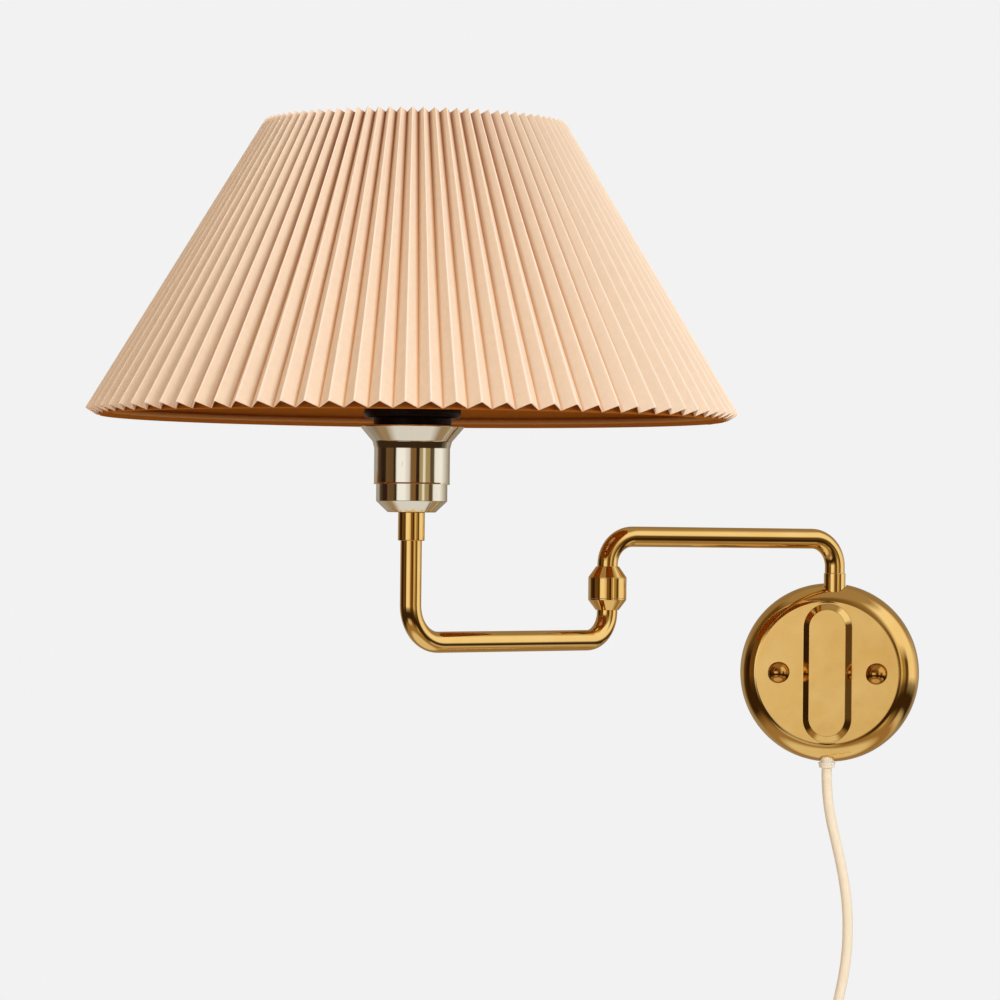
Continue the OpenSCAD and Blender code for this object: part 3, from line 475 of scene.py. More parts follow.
def cloth(name, colour, through, share, shine, painted_folds=False):
    """Laminated shade cloth: a diffuse face, light that passes through and a woven grain; the
    pleated cloth also gets painted shade in its valleys and a painted highlight on its ridges.
    """
    material, tree = bare_material(name)
    slubs = grain(tree, 900, 3, 0.6, (1, 1, 0.12))
    threads = grain(tree, 2600, 2, 0.5, (1, 1, 0.35))
    mottle = spread(tree, grain(tree, 260, 4, 0.6), 0.35, 0.7, 0.0, 0.5)
    streak = spread(tree, slubs, 0.35, 0.7, 0.0, 0.35)
    face = mixed(tree, mottle, colour, toned(colour, 0.9))
    face = mixed(tree, streak, face, toned(colour, 0.93, 0.88, 0.82))
    # Painted valley shade and painted ridge highlights on the pleated cloth
    if painted_folds:
        face = painted_fold_shade(tree, face)
    weave = bump(tree, slubs, 0.35, 0.00018)
    weave = bump(tree, threads, 0.3, 0.0001, Normal=weave)
    front = add(tree, "BsdfDiffuse", Color=face, Roughness=0.3, Normal=weave)[0]
    behind = add(tree, "BsdfTranslucent", Color=shade_of(through), Normal=weave)[0]
    sheen = add(tree, "BsdfGlossy", Color=shade_of(1), Roughness=0.5, Normal=weave)[0]
    body = add(tree, "MixShader", i0=share, i1=front, i2=behind)[0]
    gloss = add(tree, "MixShader", i0=shine, i1=body, i2=sheen)[0]
    add(tree, "OutputMaterial", Surface=gloss)
    return material


def painted_fold_shade(tree, face):
    """Paints shade into the cloth's valleys, darker towards the top where the pleats are deeper,
    and paints a highlight along its ridges.
    """
    across = add(tree, "Attribute", {"attribute_name": "fold"})["Fac"]
    height = add(tree, "SeparateXYZ", Vector=own_place(tree))["Z"]
    low = shade_bottom() * MM
    start, most, rise = (
        spread(tree, height, low, low + SHADE_H * MM, at_bottom, at_top)
        for at_bottom, at_top in ((0.84, 0.4), (0.85, 1.0), (0.0, 1.0))
    )
    # Painted shade: the valleys darken from start to their deepest line
    deep = spread(tree, across, start, 1.0, 0.0, most)
    face = mixed(tree, deep, face, mixed(tree, rise, VALLEY_SHADE_LOW, VALLEY_SHADE_HIGH))
    # Painted highlight along the ridges
    return mixed(tree, spread(tree, across, 0.05, 0.13, 1.0, 0.0), face, RIDGE_HIGHLIGHT)


def plastic(name, colour, roughness=0.38, mottle=0.1):
    """Moulded plastic with a faint mottling and a fine skin."""
    tones = (colour, toned(toned(colour, 1 - mottle), 1, 0.98, 0.94))
    rough = (500, 3, 0.85 * roughness, 1.2 * roughness)
    fine = (1200, 3, 0.12, 0.00005)
    depth = {"Subsurface_Weight": 0.12, "Subsurface_Radius": (0.004, 0.0025, 0.0015)}
    return mottled(name, tones, (180, 4, 0.6), fine, rough, IOR=1.5, **depth)


def metal(name, colour, roughness):
    """Plain plated or zinc-coated metal with patches and rubbed marks."""
    tones = (colour, toned(colour, 0.8))
    rough = (600, 4, 0.75 * roughness, 1.3 * roughness)
    return mottled(name, tones, (220, 5, 0.65), (900, 3, 0.2, 0.00004), rough, Metallic=1.0)


def webbing():
    """Woven hook strap."""
    material, tree, bsdf = new_material("strap", Roughness=0.85)
    weave = {"Vector": own_place(tree), "Scale": 520, "Distortion": 0.4}
    ribs = add(tree, "TexWave", {"bands_direction": "Z"}, **weave)["Fac"]
    tone = mixed(tree, ribs, (0.015, 0.015, 0.017), (0.05, 0.05, 0.055))
    feed(tree, bsdf, Base_Color=tone, Normal=bump(tree, ribs, 0.6, 0.0002))
    return material


TUBE_BRASS = brass("tube_brass", 0.035, 0.5)
DOME_BRASS = brass("dome_brass", 0.06, 0.9, 0.03, (0.7, 0.39, 0.11))
PLATE_BRASS = brass("plate_brass", 0.08, 0.8, 0.05)
CONTACT_BRASS = brass("contact_brass", 0.3, 0.6)
WORN_NICKEL = worn_nickel()
RING_BLACK = black_moulding("ring_black", (0.006, 0.003, 0.002), 0.3)
BARREL_BLACK = black_moulding("barrel_black", (0.014, 0.009, 0.007), 0.35)
# The pleat cloth carries painted valley shade and painted ridge highlights
PLEAT_CLOTH = cloth("pleat_cloth", FABRIC, (1.0, 0.52, 0.2), 0.17, 0.1, True)
LINER_CLOTH = cloth("liner_cloth", (0.42, 0.14, 0.02), (0.8, 0.22, 0.03), 0.14, 0.0)
TAPE_CLOTH = cloth("tape_cloth", (0.46, 0.2, 0.06), (0.6, 0.25, 0.08), 0.1, 0.01)
CORD_CREAM = plastic("cord_cream", (0.88, 0.81, 0.68), 0.42, 0.08)
SWITCH_WHITE = plastic("switch_white", (0.86, 0.82, 0.72), 0.3)
STEEL = metal("zinc_steel", (0.62, 0.62, 0.6), 0.32)
WIRE = metal("brassed_wire", (0.8, 0.66, 0.42), 0.3)
PINS = metal("plug_pins", (0.78, 0.74, 0.66), 0.16)
PORCELAIN = mottled(
    "porcelain", ((0.87, 0.84, 0.77), (0.8, 0.76, 0.68)), (300, 3), (400, 3, 0.15, 0.0001),
    Roughness=0.22, IOR=1.5, Coat_Weight=0.5,
)
BULB = mottled(
    "bulb_glass", ((0.9, 0.89, 0.86), (0.86, 0.85, 0.81)), (150, 3), (1500, 2, 0.06, 0.00004),
    Roughness=0.28, IOR=1.5, Subsurface_Weight=0.6, Subsurface_Radius=(0.012, 0.011, 0.01),
)
STRAP = webbing()


# Cord, coil and plug

CORD_D = 6
COIL_TURNS, COIL_R, COIL_PITCH, COIL_RINGS = 7.25, 43, 6.6, 24
UPPER_ROUTE = [
    (-0.5, -9, -55.5), (-0.5, -9, -60), (-0.3, -9, -66), (0.5, -9, -75), (2.5, -9, -87),
    (5.1, -9, -98), (8.1, -9, -111), (10.7, -9, -125), (12.2, -9, -138), (12.6, -9, -151),
    (12.1, -9, -163), (10.7, -9.1, -175), (8.7, -9.5, -186), (7.2, -10.2, -194),
    (6.6, -10.8, -201), (6.5, -11, -206), (6.5, -11, -210),
]
SWITCH_LEN, COIL_END = 60, 18
LEAD_DROP, LEAD_R = 6, 25


def lower_route(top):
    """Down from the switch, a quarter bend, a spiral in, out, in and out, and down to the plug."""
    x, y, z = top
    centre_x = x + LEAD_R + 2 * CORD_D
    centre_z = z - LEAD_DROP - LEAD_R - COIL_R

    def wave(t, period):
        return period / 2 - abs(t - period * math.floor(t / period) - period / 2)

    def climb(u):
        return min(1, max(0, (u + 0.25) * 2))

    def point(t):
        r = COIL_R - COIL_PITCH * wave(t, COIL_TURNS / 2)
        layer = sum(climb(t - share * COIL_TURNS / 4) for share in (1, 2, 3))
        a = radians(90 - 360 * t)
        return (centre_x + r * cos(a), y - COIL_PITCH * layer, centre_z + r * sin(a))

    plug_x, plug_y = centre_x + COIL_R, y - 3 * COIL_PITCH
    bend = [radians(15 * k) for k in range(7)]
    return [
        top, *[(x + LEAD_R * (1 - cos(a)), y, z - LEAD_DROP - LEAD_R * sin(a)) for a in bend],
        (centre_x - CORD_D, y, centre_z + COIL_R),
        *[point(i / COIL_RINGS) for i in range(round(COIL_TURNS * COIL_RINGS) + 1)],
        (plug_x, plug_y, centre_z - COIL_END / 2), (plug_x, plug_y, centre_z - COIL_END),
    ]


def make_cord():
    x, y, z = UPPER_ROUTE[-1]
    switch_low = (x, y, z - SWITCH_LEN)
    route = [Vector(p) * MM for p in (*UPPER_ROUTE, *lower_route(switch_low))]
    curve = bpy.data.curves.new("cord", "CURVE")
    curve.dimensions = "3D"
    curve.bevel_depth = CORD_D / 2 * MM
    curve.resolution_u = curve.bevel_resolution = 5
    curve.use_fill_caps = True
    spline = curve.splines.new("BEZIER")
    spline.bezier_points.add(len(route) - 1)
    for place, point in zip(route, spline.bezier_points):
        point.co = place
        point.handle_left_type = point.handle_right_type = "AUTO"
    cord = in_scene("cord", curve)
    cord.data.materials.append(CORD_CREAM)
    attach(cord, ROOT)
    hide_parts("cord_upper", "cord_lower", "cord_coil")
    plug = make_plug()


def oval(centre_x, centre_y, z, half_w, half_d, power):
    """Ring of a superellipse at height z, millimetres in and metres out."""
    ring = []
    for a in circle_angles(64):
        c, s = cos(a), sin(a)
        x = centre_x + half_w * math.copysign(abs(c) ** (2 / power), c)
        y = centre_y + half_d * math.copysign(abs(s) ** (2 / power), s)
        ring.append(Vector((x, y, z)) * MM)
    return ring


def make_plug():
    """Flat two-pin plug with a ribbed guard, lofted from the cord down to the pins' face."""
    low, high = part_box("plug_body")
    x, y = (low.x + high.x) / 2 / MM, (low.y + high.y) / 2 / MM
    half_w, half_d = (high.x - low.x) / 2 / MM, (high.y - low.y) / 2 / MM
    bottom, top = span("plug_body")
    guard, ribs = 22, 7
    shoulder, pitch = top - guard, (guard - 3) / ribs
    # (height, half width, half depth, power of the superellipse)
    rings = [(top, 3.2, 3.2, 2), (top - 0.3, 4.0, 4.0, 2)]
    for i in range(ribs):
        z = top - 1 - i * (guard - 3) / ribs
        r = 4.15 + 0.95 * i / ribs
        for down, out in ((0, 0), (0.55, 0.1), (0.62, -0.75), (0.92, -0.7)):
            rings.append((z - down * pitch, r + out, r + out, 2))
    rings += [
        (shoulder + 1.5, 5.3, 5.3, 2), (shoulder, 6.2, 5.8, 2.3), (shoulder - 2, 7.6, 6.2, 2.8),
        (shoulder - 6, 10.2, half_d - 0.4, 3.4), (shoulder - 12, half_w - 0.3, half_d, 4.2),
        (shoulder - 20, half_w, half_d, 4.6), (bottom + 5, half_w, half_d, 4.6),
        (bottom + 2.2, half_w - 0.6, half_d - 0.3, 4.4),
        (bottom + 0.6, half_w - 2.0, half_d - 1.1, 4.2), (bottom, half_w - 3.2, half_d - 2.2, 4.0),
    ]
    points = [p for ring in rings for p in oval(x, y, *ring)]
    plug = new_object("plug", points, skin(points, len(points) // len(rings), False), 50)
    return stand_in(plug, "plug_body", ROOT, SWITCH_WHITE, "white_plastic")


# Wall plate

FACE_R, RIM_DEPTH, SHEET = 42, 4, 1.0
BOSS_W, BOSS_LEN = 28.3, 81
BOSS_RISE, BOSS_SLOPE = 2.6, 3.6
SLEEVE_SLOT, BUSH_SLOT = 13.1, 7.8


def track_directions(reach, steps=30, straight=72):
    """Round a race-track: (direction, share along the straight from -1 to 1).

    The places on the straights are even as angles about the plate's centre.
    """
    half = atan2(reach, BOSS_W / 2)
    shares = [
        math.tan(half * (1 - 2 * k / straight)) * BOSS_W / 2 / reach for k in range(1, straight)
    ]
    places = [(pi * k / steps, 1) for k in range(steps + 1)]
    places += [(pi, share) for share in shares]
    places += [(pi + pi * k / steps, -1) for k in range(steps + 1)]
    places += [(tau, -share) for share in shares]
    return places


def make_plate():
    """Pressed cover: outer skin from the boss's top to the rim, then the inner skin back."""
    plate_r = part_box("wall_cover")[1].x / MM
    depth = -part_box("wall_cover")[0].y / MM - BOSS_RISE
    reach = BOSS_LEN / 2 - BOSS_W / 2
    directions = track_directions(reach)
    points = []

    def ring(r, out, circle=False):
        for a, share in directions:
            rise = share * reach
            if circle:
                a = atan2(BOSS_W / 2 * sin(a) + rise, BOSS_W / 2 * cos(a))
                rise = 0
            points.append(Vector((r * cos(a), -out, r * sin(a) + rise)) * MM)

    shoulder_run, shoulder_drop = plate_r - FACE_R, depth - RIM_DEPTH
    shoulder_r = (shoulder_run**2 + shoulder_drop**2) / (2 * shoulder_run)
    base, top, boss_out = BOSS_W / 2, BOSS_W / 2 - BOSS_SLOPE, depth + BOSS_RISE
    wall = [(top - 3, boss_out), (top, boss_out, 0.4), (base, depth, 0.45), (base + 1.2, depth)]
    for r, out in rounded(wall, 5):
        ring(r, out)
    centre = (plate_r - shoulder_r, RIM_DEPTH)
    end = math.degrees(math.asin(shoulder_drop / shoulder_r))
    outer = [(-1.0, 0), (-0.35, 0), (-0.12, 0.04), (0.06, 0.16)]
    for r, out in (
        *[(FACE_R + wider, depth - lower) for wider, lower in outer],
        *arc(centre, shoulder_r, end, 0, 24)[1:],
        *[(plate_r, 0.35), (plate_r - 0.3, 0), (plate_r - SHEET, 0)],
        *arc(centre, shoulder_r - SHEET, 0, end - 4, 10), (FACE_R - 1, depth - SHEET),
    ):
        ring(r, out, True)
    ring(base - SHEET, depth - SHEET)
    ring(top - SHEET, boss_out - SHEET)
    plate = new_object("plate", points, skin(points, len(directions), False))

    bush = upright_axis("cord_bush") / MM
    cutters = []
    for x, y, half, low, high in (
        (WALL_AXIS.x / MM, WALL_AXIS.y / MM, SLEEVE_SLOT / 2, plate_r / 2, plate_r + 5),
        (bush.x, bush.y, BUSH_SLOT / 2, -plate_r - 5, -plate_r / 2),
    ):
        cutters += [block((x - half, y, low), (x + half, 5, high)), rod((x, y), half, low, high)]
    cut(plate, cutters)
    stand_in(plate, "wall_cover", ROOT, PLATE_BRASS, "polished_brass")


def make_domes():
    """Domed nuts: a short straight foot with a fine groove, then the dome."""
    low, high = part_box("domed_nuts")
    face, tip = -high.y / MM, -low.y / MM
    radius = (high.z - low.z) / 2 / MM
    centre = tip - radius
    foot = math.degrees(math.asin((centre - face - 0.5) / radius))
    outline = [(radius * 0.9, face), *arc((0, centre), radius, -foot, 90, 22), (0, face)]
    for side, name in ((-1, "dome_left"), (1, "dome_right")):
        axis = Vector((side * ((high.x - low.x) / 2 - radius * MM), 0, 0))
        dome = lathe(name, outline, axis, 72, True)
        stand_in(dome, "domed_nuts", ROOT, DOME_BRASS, "polished_brass")


# Arms and swivels

BEND_R, LAMP_BEND_R = 16, 20.5
TUBE_R, TUBE_WALL = radius_of("upper_arm", WALL_AXIS), 1.0
BEND_STEPS, LEG_STEPS, RUN_STEPS = 14, 2, 10


def arm_route(start, end, axis_z, up, foot, tip):
    """Leg, bend, level run at axis_z, bend, leg, all in millimetres but the two axes.

    The legs go up from the run, or down where up is -1. foot and tip are the height of a leg's
    end and the radius of its bend.
    """
    (start_z, start_r), (end_z, end_r) = foot, tip
    direction = (end - start).normalized()
    length = (end - start).length / MM
    quarter = [pi / 2 * k / BEND_STEPS for k in range(BEND_STEPS + 1)]
    run = length - start_r - end_r
    low, high = axis_z + up * start_r, axis_z + up * end_r
    route = [(0, start_z + (low - start_z) * k / LEG_STEPS) for k in range(LEG_STEPS)]
    route += [(start_r * (1 - cos(a)), low - up * start_r * sin(a)) for a in quarter]
    route += [(start_r + run * k / RUN_STEPS, axis_z) for k in range(1, RUN_STEPS)]
    for a in quarter:
        route.append((length - end_r * (1 - sin(a)), high - up * end_r * cos(a)))
    for k in range(1, LEG_STEPS + 1):
        route.append((length, high + (end_z - high) * k / LEG_STEPS))
    return [start + direction * (along * MM) + Vector((0, 0, z * MM)) for along, z in route]


def make_arms():
    (upper_foot, upper_top), (lower_low, lower_tip) = span("upper_arm"), span("lower_arm")
    knuckle_z = span("knuckle_cap")[1] - CAP_SOCKET
    foot_z = span("knuckle_foot")[0] + FOOT_SOCKET
    upper = (upper_top - TUBE_R, -1, (upper_foot, BEND_R), (knuckle_z, BEND_R))
    lower = (lower_low + TUBE_R, 1, (foot_z, BEND_R), (lower_tip, LAMP_BEND_R))
    for name, node, body, route in (
        ("upper_tube", "upper_arm", UPPER, arm_route(WALL_AXIS, ELBOW_AXIS, *upper)),
        ("lower_tube", "lower_arm", LOWER, arm_route(ELBOW_AXIS, LAMP_AXIS, *lower)),
    ):
        tube = sweep(name, route, TUBE_R * MM, (TUBE_R - TUBE_WALL) * MM)
        stand_in(tube, node, body, TUBE_BRASS, "polished_brass")


def turned(
    name, node, body, corners, material=TUBE_BRASS, slot="polished_brass", steps=96, arc_steps=4
):
    """A turned piece that stands for a node: a rounded outline on that node's upright axis."""
    piece = lathe(name, rounded(corners, arc_steps), upright_axis(node), steps)
    return stand_in(piece, node, body, material, slot)


CONE_END_R = 6.5
JOINT_FILL = 0.22  # how much of the running gap the visible piece takes up
CAP_SOCKET, FOOT_SOCKET = 2.6, 2.45  # how deep a tube's end goes in
NIPPLE_BORE = 5.05


def make_swivels():
    low, high = span("pivot_sleeve")
    sleeve_r = radius_of("pivot_sleeve", WALL_AXIS)
    bore = 4.85
    outline = [
        (bore, low), (sleeve_r, low, 0.2), (sleeve_r, high + JOINT_FILL, 0.35),
        (bore, high + JOINT_FILL, 0.1),
    ]
    turned("sleeve", "pivot_sleeve", ROOT, outline)

    r = radius_of("knuckle_barrel", ELBOW_AXIS)
    fit_r = TUBE_R + 0.05
    chamber, pin_bore = r - 1.95, 3.25
    low, high = span("knuckle_cap")
    barrel_low, barrel_high = span("knuckle_barrel")
    outline = [
        (pin_bore, low), (chamber, low), (chamber, barrel_high + 0.05),
        (r, barrel_high + 0.05, 0.2), (r, barrel_high + 0.4, 0.2), (CONE_END_R, high, 0.5),
        (fit_r, high, 0.1), (fit_r, high - CAP_SOCKET), (pin_bore, high - CAP_SOCKET),
    ]
    turned("elbow_cap", "knuckle_cap", UPPER, outline)
    floor_z = barrel_low + 2.6
    outline = [
        (NIPPLE_BORE, barrel_low), (r, barrel_low, 0.15), (r, barrel_high, 0.2),
        (chamber + 0.05, barrel_high), (chamber + 0.05, floor_z), (NIPPLE_BORE, floor_z),
    ]
    turned("elbow_barrel", "knuckle_barrel", UPPER, outline)
    low, high = span("knuckle_foot")
    outline = [
        (fit_r, low), (CONE_END_R, low, 0.5), (r, high - 0.5, 0.2), (r, high + JOINT_FILL, 0.15),
        (NIPPLE_BORE, high + JOINT_FILL), (NIPPLE_BORE, low + CAP_SOCKET),
        (fit_r, low + CAP_SOCKET),
    ]
    turned("elbow_foot", "knuckle_foot", LOWER, outline)
    low, high = span("stem_collar")
    collar_r = radius_of("stem_collar")
    outline = [
        (fit_r, low), (collar_r, low, 0.5), (collar_r, high, 0.35), (NIPPLE_BORE, high),
        (NIPPLE_BORE, low + 6), (fit_r, low + 6),
    ]
    turned("collar", "stem_collar", LOWER, outline)


# Lampholder


def mark_wear(obj, z_low, z_high, r_low, fade, spots=()):
    """Stores how worn each point is: 1 between two heights past a radius, fading from there.

    A spot is a height, degrees to the right of the camera at rest, and a reach.
    """
    wear = obj.data.attributes.new("wear", "FLOAT", "POINT")
    for vertex in obj.data.vertices:
        z = vertex.co.z / MM
        out = Vector((vertex.co.x, vertex.co.y, 0)) - LAMP_AXIS
        r = out.length / MM
        off = max(0.0, z_low - z, z - z_high, r_low - r)
        value = max(0.0, 1 - off / fade)
        for height, turn, reach in spots:
            swing = atan2(out.y, out.x) - CAMERA_SIDE - radians(turn)
            swing = (swing + pi) % tau - pi
            value = max(value, 1.4 - 1.4 * hypot(z - height, r * swing) / reach / 1.6)
        wear.data[vertex.index].value = value


def make_holder():
    low, high = span("holder_base")
    base_r = radius_of("holder_base")
    small_r, shoulder = 13, low + 6
    outline = [
        (NIPPLE_BORE, low), (small_r, low, 0.5), (base_r, shoulder, 0.6), (base_r, high),
        (base_r - 1, high), (base_r - 1, shoulder + 0.4), (small_r - 0.4, low + 1),
        (NIPPLE_BORE, low + 1),
    ]
    nickel = (WORN_NICKEL, "worn_nickel")
    base = turned("holder_cup", "holder_base", LOWER, outline, *nickel, 144)
    mark_wear(base, low, low + 0.1, 0, 0.4)

    low, high = span("holder_sleeve")
    rim_r = radius_of("holder_sleeve")
    body_r, lip_r, inner, sheet = 20.55, 20.7, base_r + 0.05, 0.7
    flare = high - 9.2
    outline = [
        (inner, low), (lip_r, low, 0.15), (body_r, low + 0.9, 0.3), (body_r, flare - 3.2, 3.0),
        (body_r + 1.0, flare + 0.6, 2.2), (rim_r - 0.15, high - 1.0), (rim_r, high - 0.55, 0.3),
        (rim_r - 0.2, high, 0.3), (rim_r - sheet, high - 0.1, 0.2),
        (body_r + 0.6, flare + 1.6, 2.0), (body_r - 0.6, flare - 0.6, 1.5),
        (body_r - 0.8, low + 8), (inner, low + 7),
    ]
    sleeve = turned("holder_shell", "holder_sleeve", LOWER, outline, *nickel, 180, 6)
    spots = [(2.0, -66, 3.6), (1.5, -48, 2.2), (5.0, 46, 2.6), (2.5, 62, 2.0)]
    spots = [(low + above, turn, reach) for above, turn, reach in spots]
    mark_wear(sleeve, high - 0.62, high, rim_r - 1.0, 0.5, spots)

    ring_low, ring_high = span("shade_ring")
    flange_r = radius_of("shade_ring")
    neck_r, flange_low, bore = 21.15, ring_high - 7, 19.35
    outline = [
        (bore, ring_low), (neck_r, ring_low, 0.3), (neck_r, flange_low, 0.5),
        (flange_r, flange_low, 3.2), (flange_r, ring_high, 3.2), (bore, ring_high, 0.2),
    ]
    turned("shade_nut", "shade_ring", LOWER, outline, RING_BLACK, "black_bakelite", 128)

    low, high = span("lamp_barrel")
    barrel_r = radius_of("lamp_barrel")
    inner, z = barrel_r - 2.7, ring_high + 1
    threads = [(inner, low), (barrel_r, low), (barrel_r, z)]
    while z < high - 2.2:
        for deep, up in ((0.5, 0.6), (0.5, 0.9), (0, 1.4), (0, 1.6)):
            threads.append((barrel_r - deep, z + up))
        z += 1.6
    threads += [(barrel_r, high - 0.4), (barrel_r - 0.4, high), (inner, high)]
    black = (BARREL_BLACK, "black_bakelite")
    barrel = lathe("insulator", threads, LAMP_AXIS)
    stand_in(barrel, "lamp_barrel", LOWER, *black)
    clamp_r = radius_of("clamp_ring")
    clamp = knurled("clamp_nut", *span("clamp_ring"), clamp_r, barrel_r + 0.05)
    stand_in(clamp, "clamp_ring", LOWER, *black)


def knurled(name, low, high, radius, bore):
    """Ring nut with a finger rib at every fourth step."""
    steps = 144
    rings = (
        (low, bore, 0), (low, radius - 0.5, 0), (low + 0.4, radius - 0.1, 0.5),
        (high - 0.4, radius - 0.1, 0.5), (high, radius - 0.5, 0), (high, bore, 0),
    )
    points = []
    for z, r, rib in rings:
        for k, a in enumerate(circle_angles(steps)):
            points.append(polar(r - rib * (k % 4 == 0), a, z) * MM + LAMP_AXIS)
    return new_object(name, points, skin(points, steps))


# Bush, shade and bulb


def make_bush():
    low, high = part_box("cord_bush")
    r = (high.x - low.x) / 2 / MM
    bottom, top = span("cord_bush")
    neck_r, bore = r - 1.2, CORD_D / 2 + 0.15
    step, neck_top = bottom + 3.1, top - 1.5
    outline = [
        (bore, bottom, 0.2), (r - 0.5, bottom, 0.2), (r - 0.3, step - 1.3, 0.3),
        (r, step - 1.2, 0.1), (r, step, 0.1), (neck_r, step), (neck_r, neck_top), (r, neck_top),
        (r, top, 0.3), (bore, top, 0.2),
    ]
    turned("bush", "cord_bush", ROOT, outline, SWITCH_WHITE, "white_plastic", 72)


def make_pleats():
    """Pleated skin: sharp ridges with a narrow flat, and valleys, none quite like the next."""
    low_z = shade_bottom()
    out = Vector((cos(CONE), sin(CONE)))
    pitch = tau / PLEATS
    columns = []  # (angle, share of the depth, fold value)
    for k in range(PLEATS):
        lean = 0.05 * noise.noise(Vector((k * 1.7, 3.1, 0)))
        depth = 1 - 0.07 * abs(noise.noise(Vector((k * 2.3, 9.7, 0))))
        ridge = LOWER_ANGLE + k * pitch
        valley = ridge + (0.5 + lean) * pitch
        following = ridge + pitch
        for s in FOLD_STOPS:
            columns.append((ridge + (valley - ridge) * s, depth * s, s))
        columns.append((valley, depth, 1.0))
        for s in reversed(FOLD_STOPS[1:]):
            columns.append((following + (valley - following) * s, depth * s, s))

    points, folds = [], []
    rows = range(SHADE_ROWS + 1)
    for inset, order in ((0, rows), (SKIN, reversed(rows))):
        for row in order:
            t = row / SHADE_ROWS
            ridge_r = RIDGE_R + (RIDGE_TOP_R - RIDGE_R) * t
            depth = PLEAT_DEPTH + (PLEAT_TOP_DEPTH - PLEAT_DEPTH) * t
            for i, (a, share, s) in enumerate(columns):
                sway = noise.noise(Vector((cos(a) * 9, sin(a) * 9, t * 2.2)))
                wander = 0.0012 * noise.noise(Vector((i // 10 * 1.3, t * 3, 5)))
                back = depth * max(share, FOLD_STOPS[1]) + inset - 0.12 * sway * (1 - s)
                back = max(back, 0.0)
                a_here = a + wander * (1 - abs(2 * t - 1))
                z = low_z + SHADE_H * t - back * out.y
                points.append(polar(ridge_r - back * out.x, a_here, z) * MM + LAMP_AXIS)
                folds.append(s)
    pleats = new_object("pleated_skin", points, skin(points, len(columns)), 25)
    fold = pleats.data.attributes.new("fold", "FLOAT", "POINT")
    fold.data.foreach_set("value", folds)
    stand_in(pleats, "shade_pleats", LOWER, PLEAT_CLOTH, "pleated_fabric")


def make_liner():
    """Smooth liner with a turned hem at both edges and one lapped seam."""
    out_r, out_z = cos(CONE), sin(CONE)
    back, back_top = (depth + SKIN + SKIN_GAP for depth in (PLEAT_DEPTH, PLEAT_TOP_DEPTH))
    low_r = RIDGE_R - back * out_r + LINER_HEM * out_z
    low_z = shade_bottom() - back * out_z - LINER_HEM * out_r
    top_r = RIDGE_TOP_R - back_top * out_r
    top_z = shade_bottom() + SHADE_H - back_top * out_z
    slope = Vector((top_r - low_r, top_z - low_z))
    length = slope.length
    slope.normalize()
    inward = Vector((-slope.y, slope.x))
    hem, double = 6, LINER_T + LAP
    # (how far along the slant, how far in from the outer face)
    outline = [
        (0, 0), (length, 0), (length, double), (length - hem, double),
        (length - hem - 0.3, LINER_T), (hem + 0.3, LINER_T), (hem, double), (0, double),
    ]
    start, steps = Vector((low_r, low_z)), 240
    seam_at, seam_width = LOWER_ANGLE + radians(150), radians(3.2)
    points = []
    for along, into in outline:
        for a in circle_angles(steps):
            off = abs((a - seam_at + pi) % tau - pi)
            lap = LAP if into and off < seam_width / 2 else 0
            p = start + slope * along + inward * (into + lap)
            points.append(polar(p.x, a, p.y) * MM + LAMP_AXIS)
    liner = new_object("smooth_liner", points, skin(points, steps))
    stand_in(liner, "shade_liner", LOWER, LINER_CLOTH, "liner_fabric")


def make_bound_wire():
    """The bottom wire ring bound with tape: the turns of the tape show as slanted ridges."""
    low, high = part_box("bottom_wire")
    wire_r = (high.z - low.z) / 2 / MM
    ring_r = (high.x - low.x) / 2 / MM - wire_r
    z = (low.z + high.z) / 2 / MM
    turns, steps, sides, tape = 150, 900, 14, 0.12
    points = []
    for k, a in enumerate(circle_angles(steps)):
        for s, b in enumerate(circle_angles(sides)):
            lap = (turns * k / steps + s / sides) % 1
            r = wire_r - tape + tape * lap
            points.append(polar(ring_r + r * cos(b), a, z + r * sin(b)) * MM + LAMP_AXIS)
    wire = new_object("bound_wire", points, skin(points, sides))
    stand_in(wire, "bottom_wire", LOWER, TAPE_CLOTH, "liner_fabric")


def make_bulb():
    """Opal bulb: neck, cone and sphere in one smooth outline."""
    low, high = span("bulb_glass")
    r = radius_of("bulb_glass")
    neck_r, wall = 13.2, 1.0
    centre = high - r
    neck = [(0, 0), (0.6, 5), (1.9, 15), (5.2, 22), (10.0, 30)]
    outer = [(neck_r + wider, low + up) for wider, up in neck] + arc((0, centre), r, -34, 90, 26)
    inner = [(max(0.0, x - wall), z - wall * (z - centre) / r) for x, z in reversed(outer)]
    bulb = lathe("bulb", [*outer, *inner], LAMP_AXIS)
    stand_in(bulb, "bulb_glass", LOWER, BULB, "bulb_glass")


# CAD nodes that stay


def dress_nodes():
    looks = {
        STEEL: """wall_bracket cover_studs clamp_screws wall_spigot pivot_washer pivot_nut
            elbow_pin elbow_washer elbow_nut holder_nipple holder_locknut switch_screws bulb_cap""",
        CONTACT_BRASS: "terminal_screws contact_screws centre_contact screw_shell",
        SWITCH_WHITE: "terminal_block cord_clamp switch_back switch_front",
        CORD_CREAM: "cord_inner flex_wall flex_upper flex_lower",
        PORCELAIN: "ceramic_core",
        WIRE: "shade_frame",
        STRAP: "coil_tie",
        PINS: "plug_pins",
        plastic("rocker_white", (0.83, 0.78, 0.67), 0.26): "switch_rocker",
    }
    for material, names in looks.items():
        for name in names.split():
            smooth(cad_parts[name])
            paint(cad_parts[name], material)
    edges = {
        "switch_back": 1.6, "switch_front": 1.6, "switch_rocker": 0.8, "coil_tie": 0.4,
        "terminal_block": 0.5, "wall_bracket": 0.3,
    }
    for name, width in edges.items():
        soften(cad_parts[name], width)


# Studio

PAPER = 0.888  # the photograph's backdrop, linear
FLOOR_R = 1.6
FLOOR_GAP = 0.02


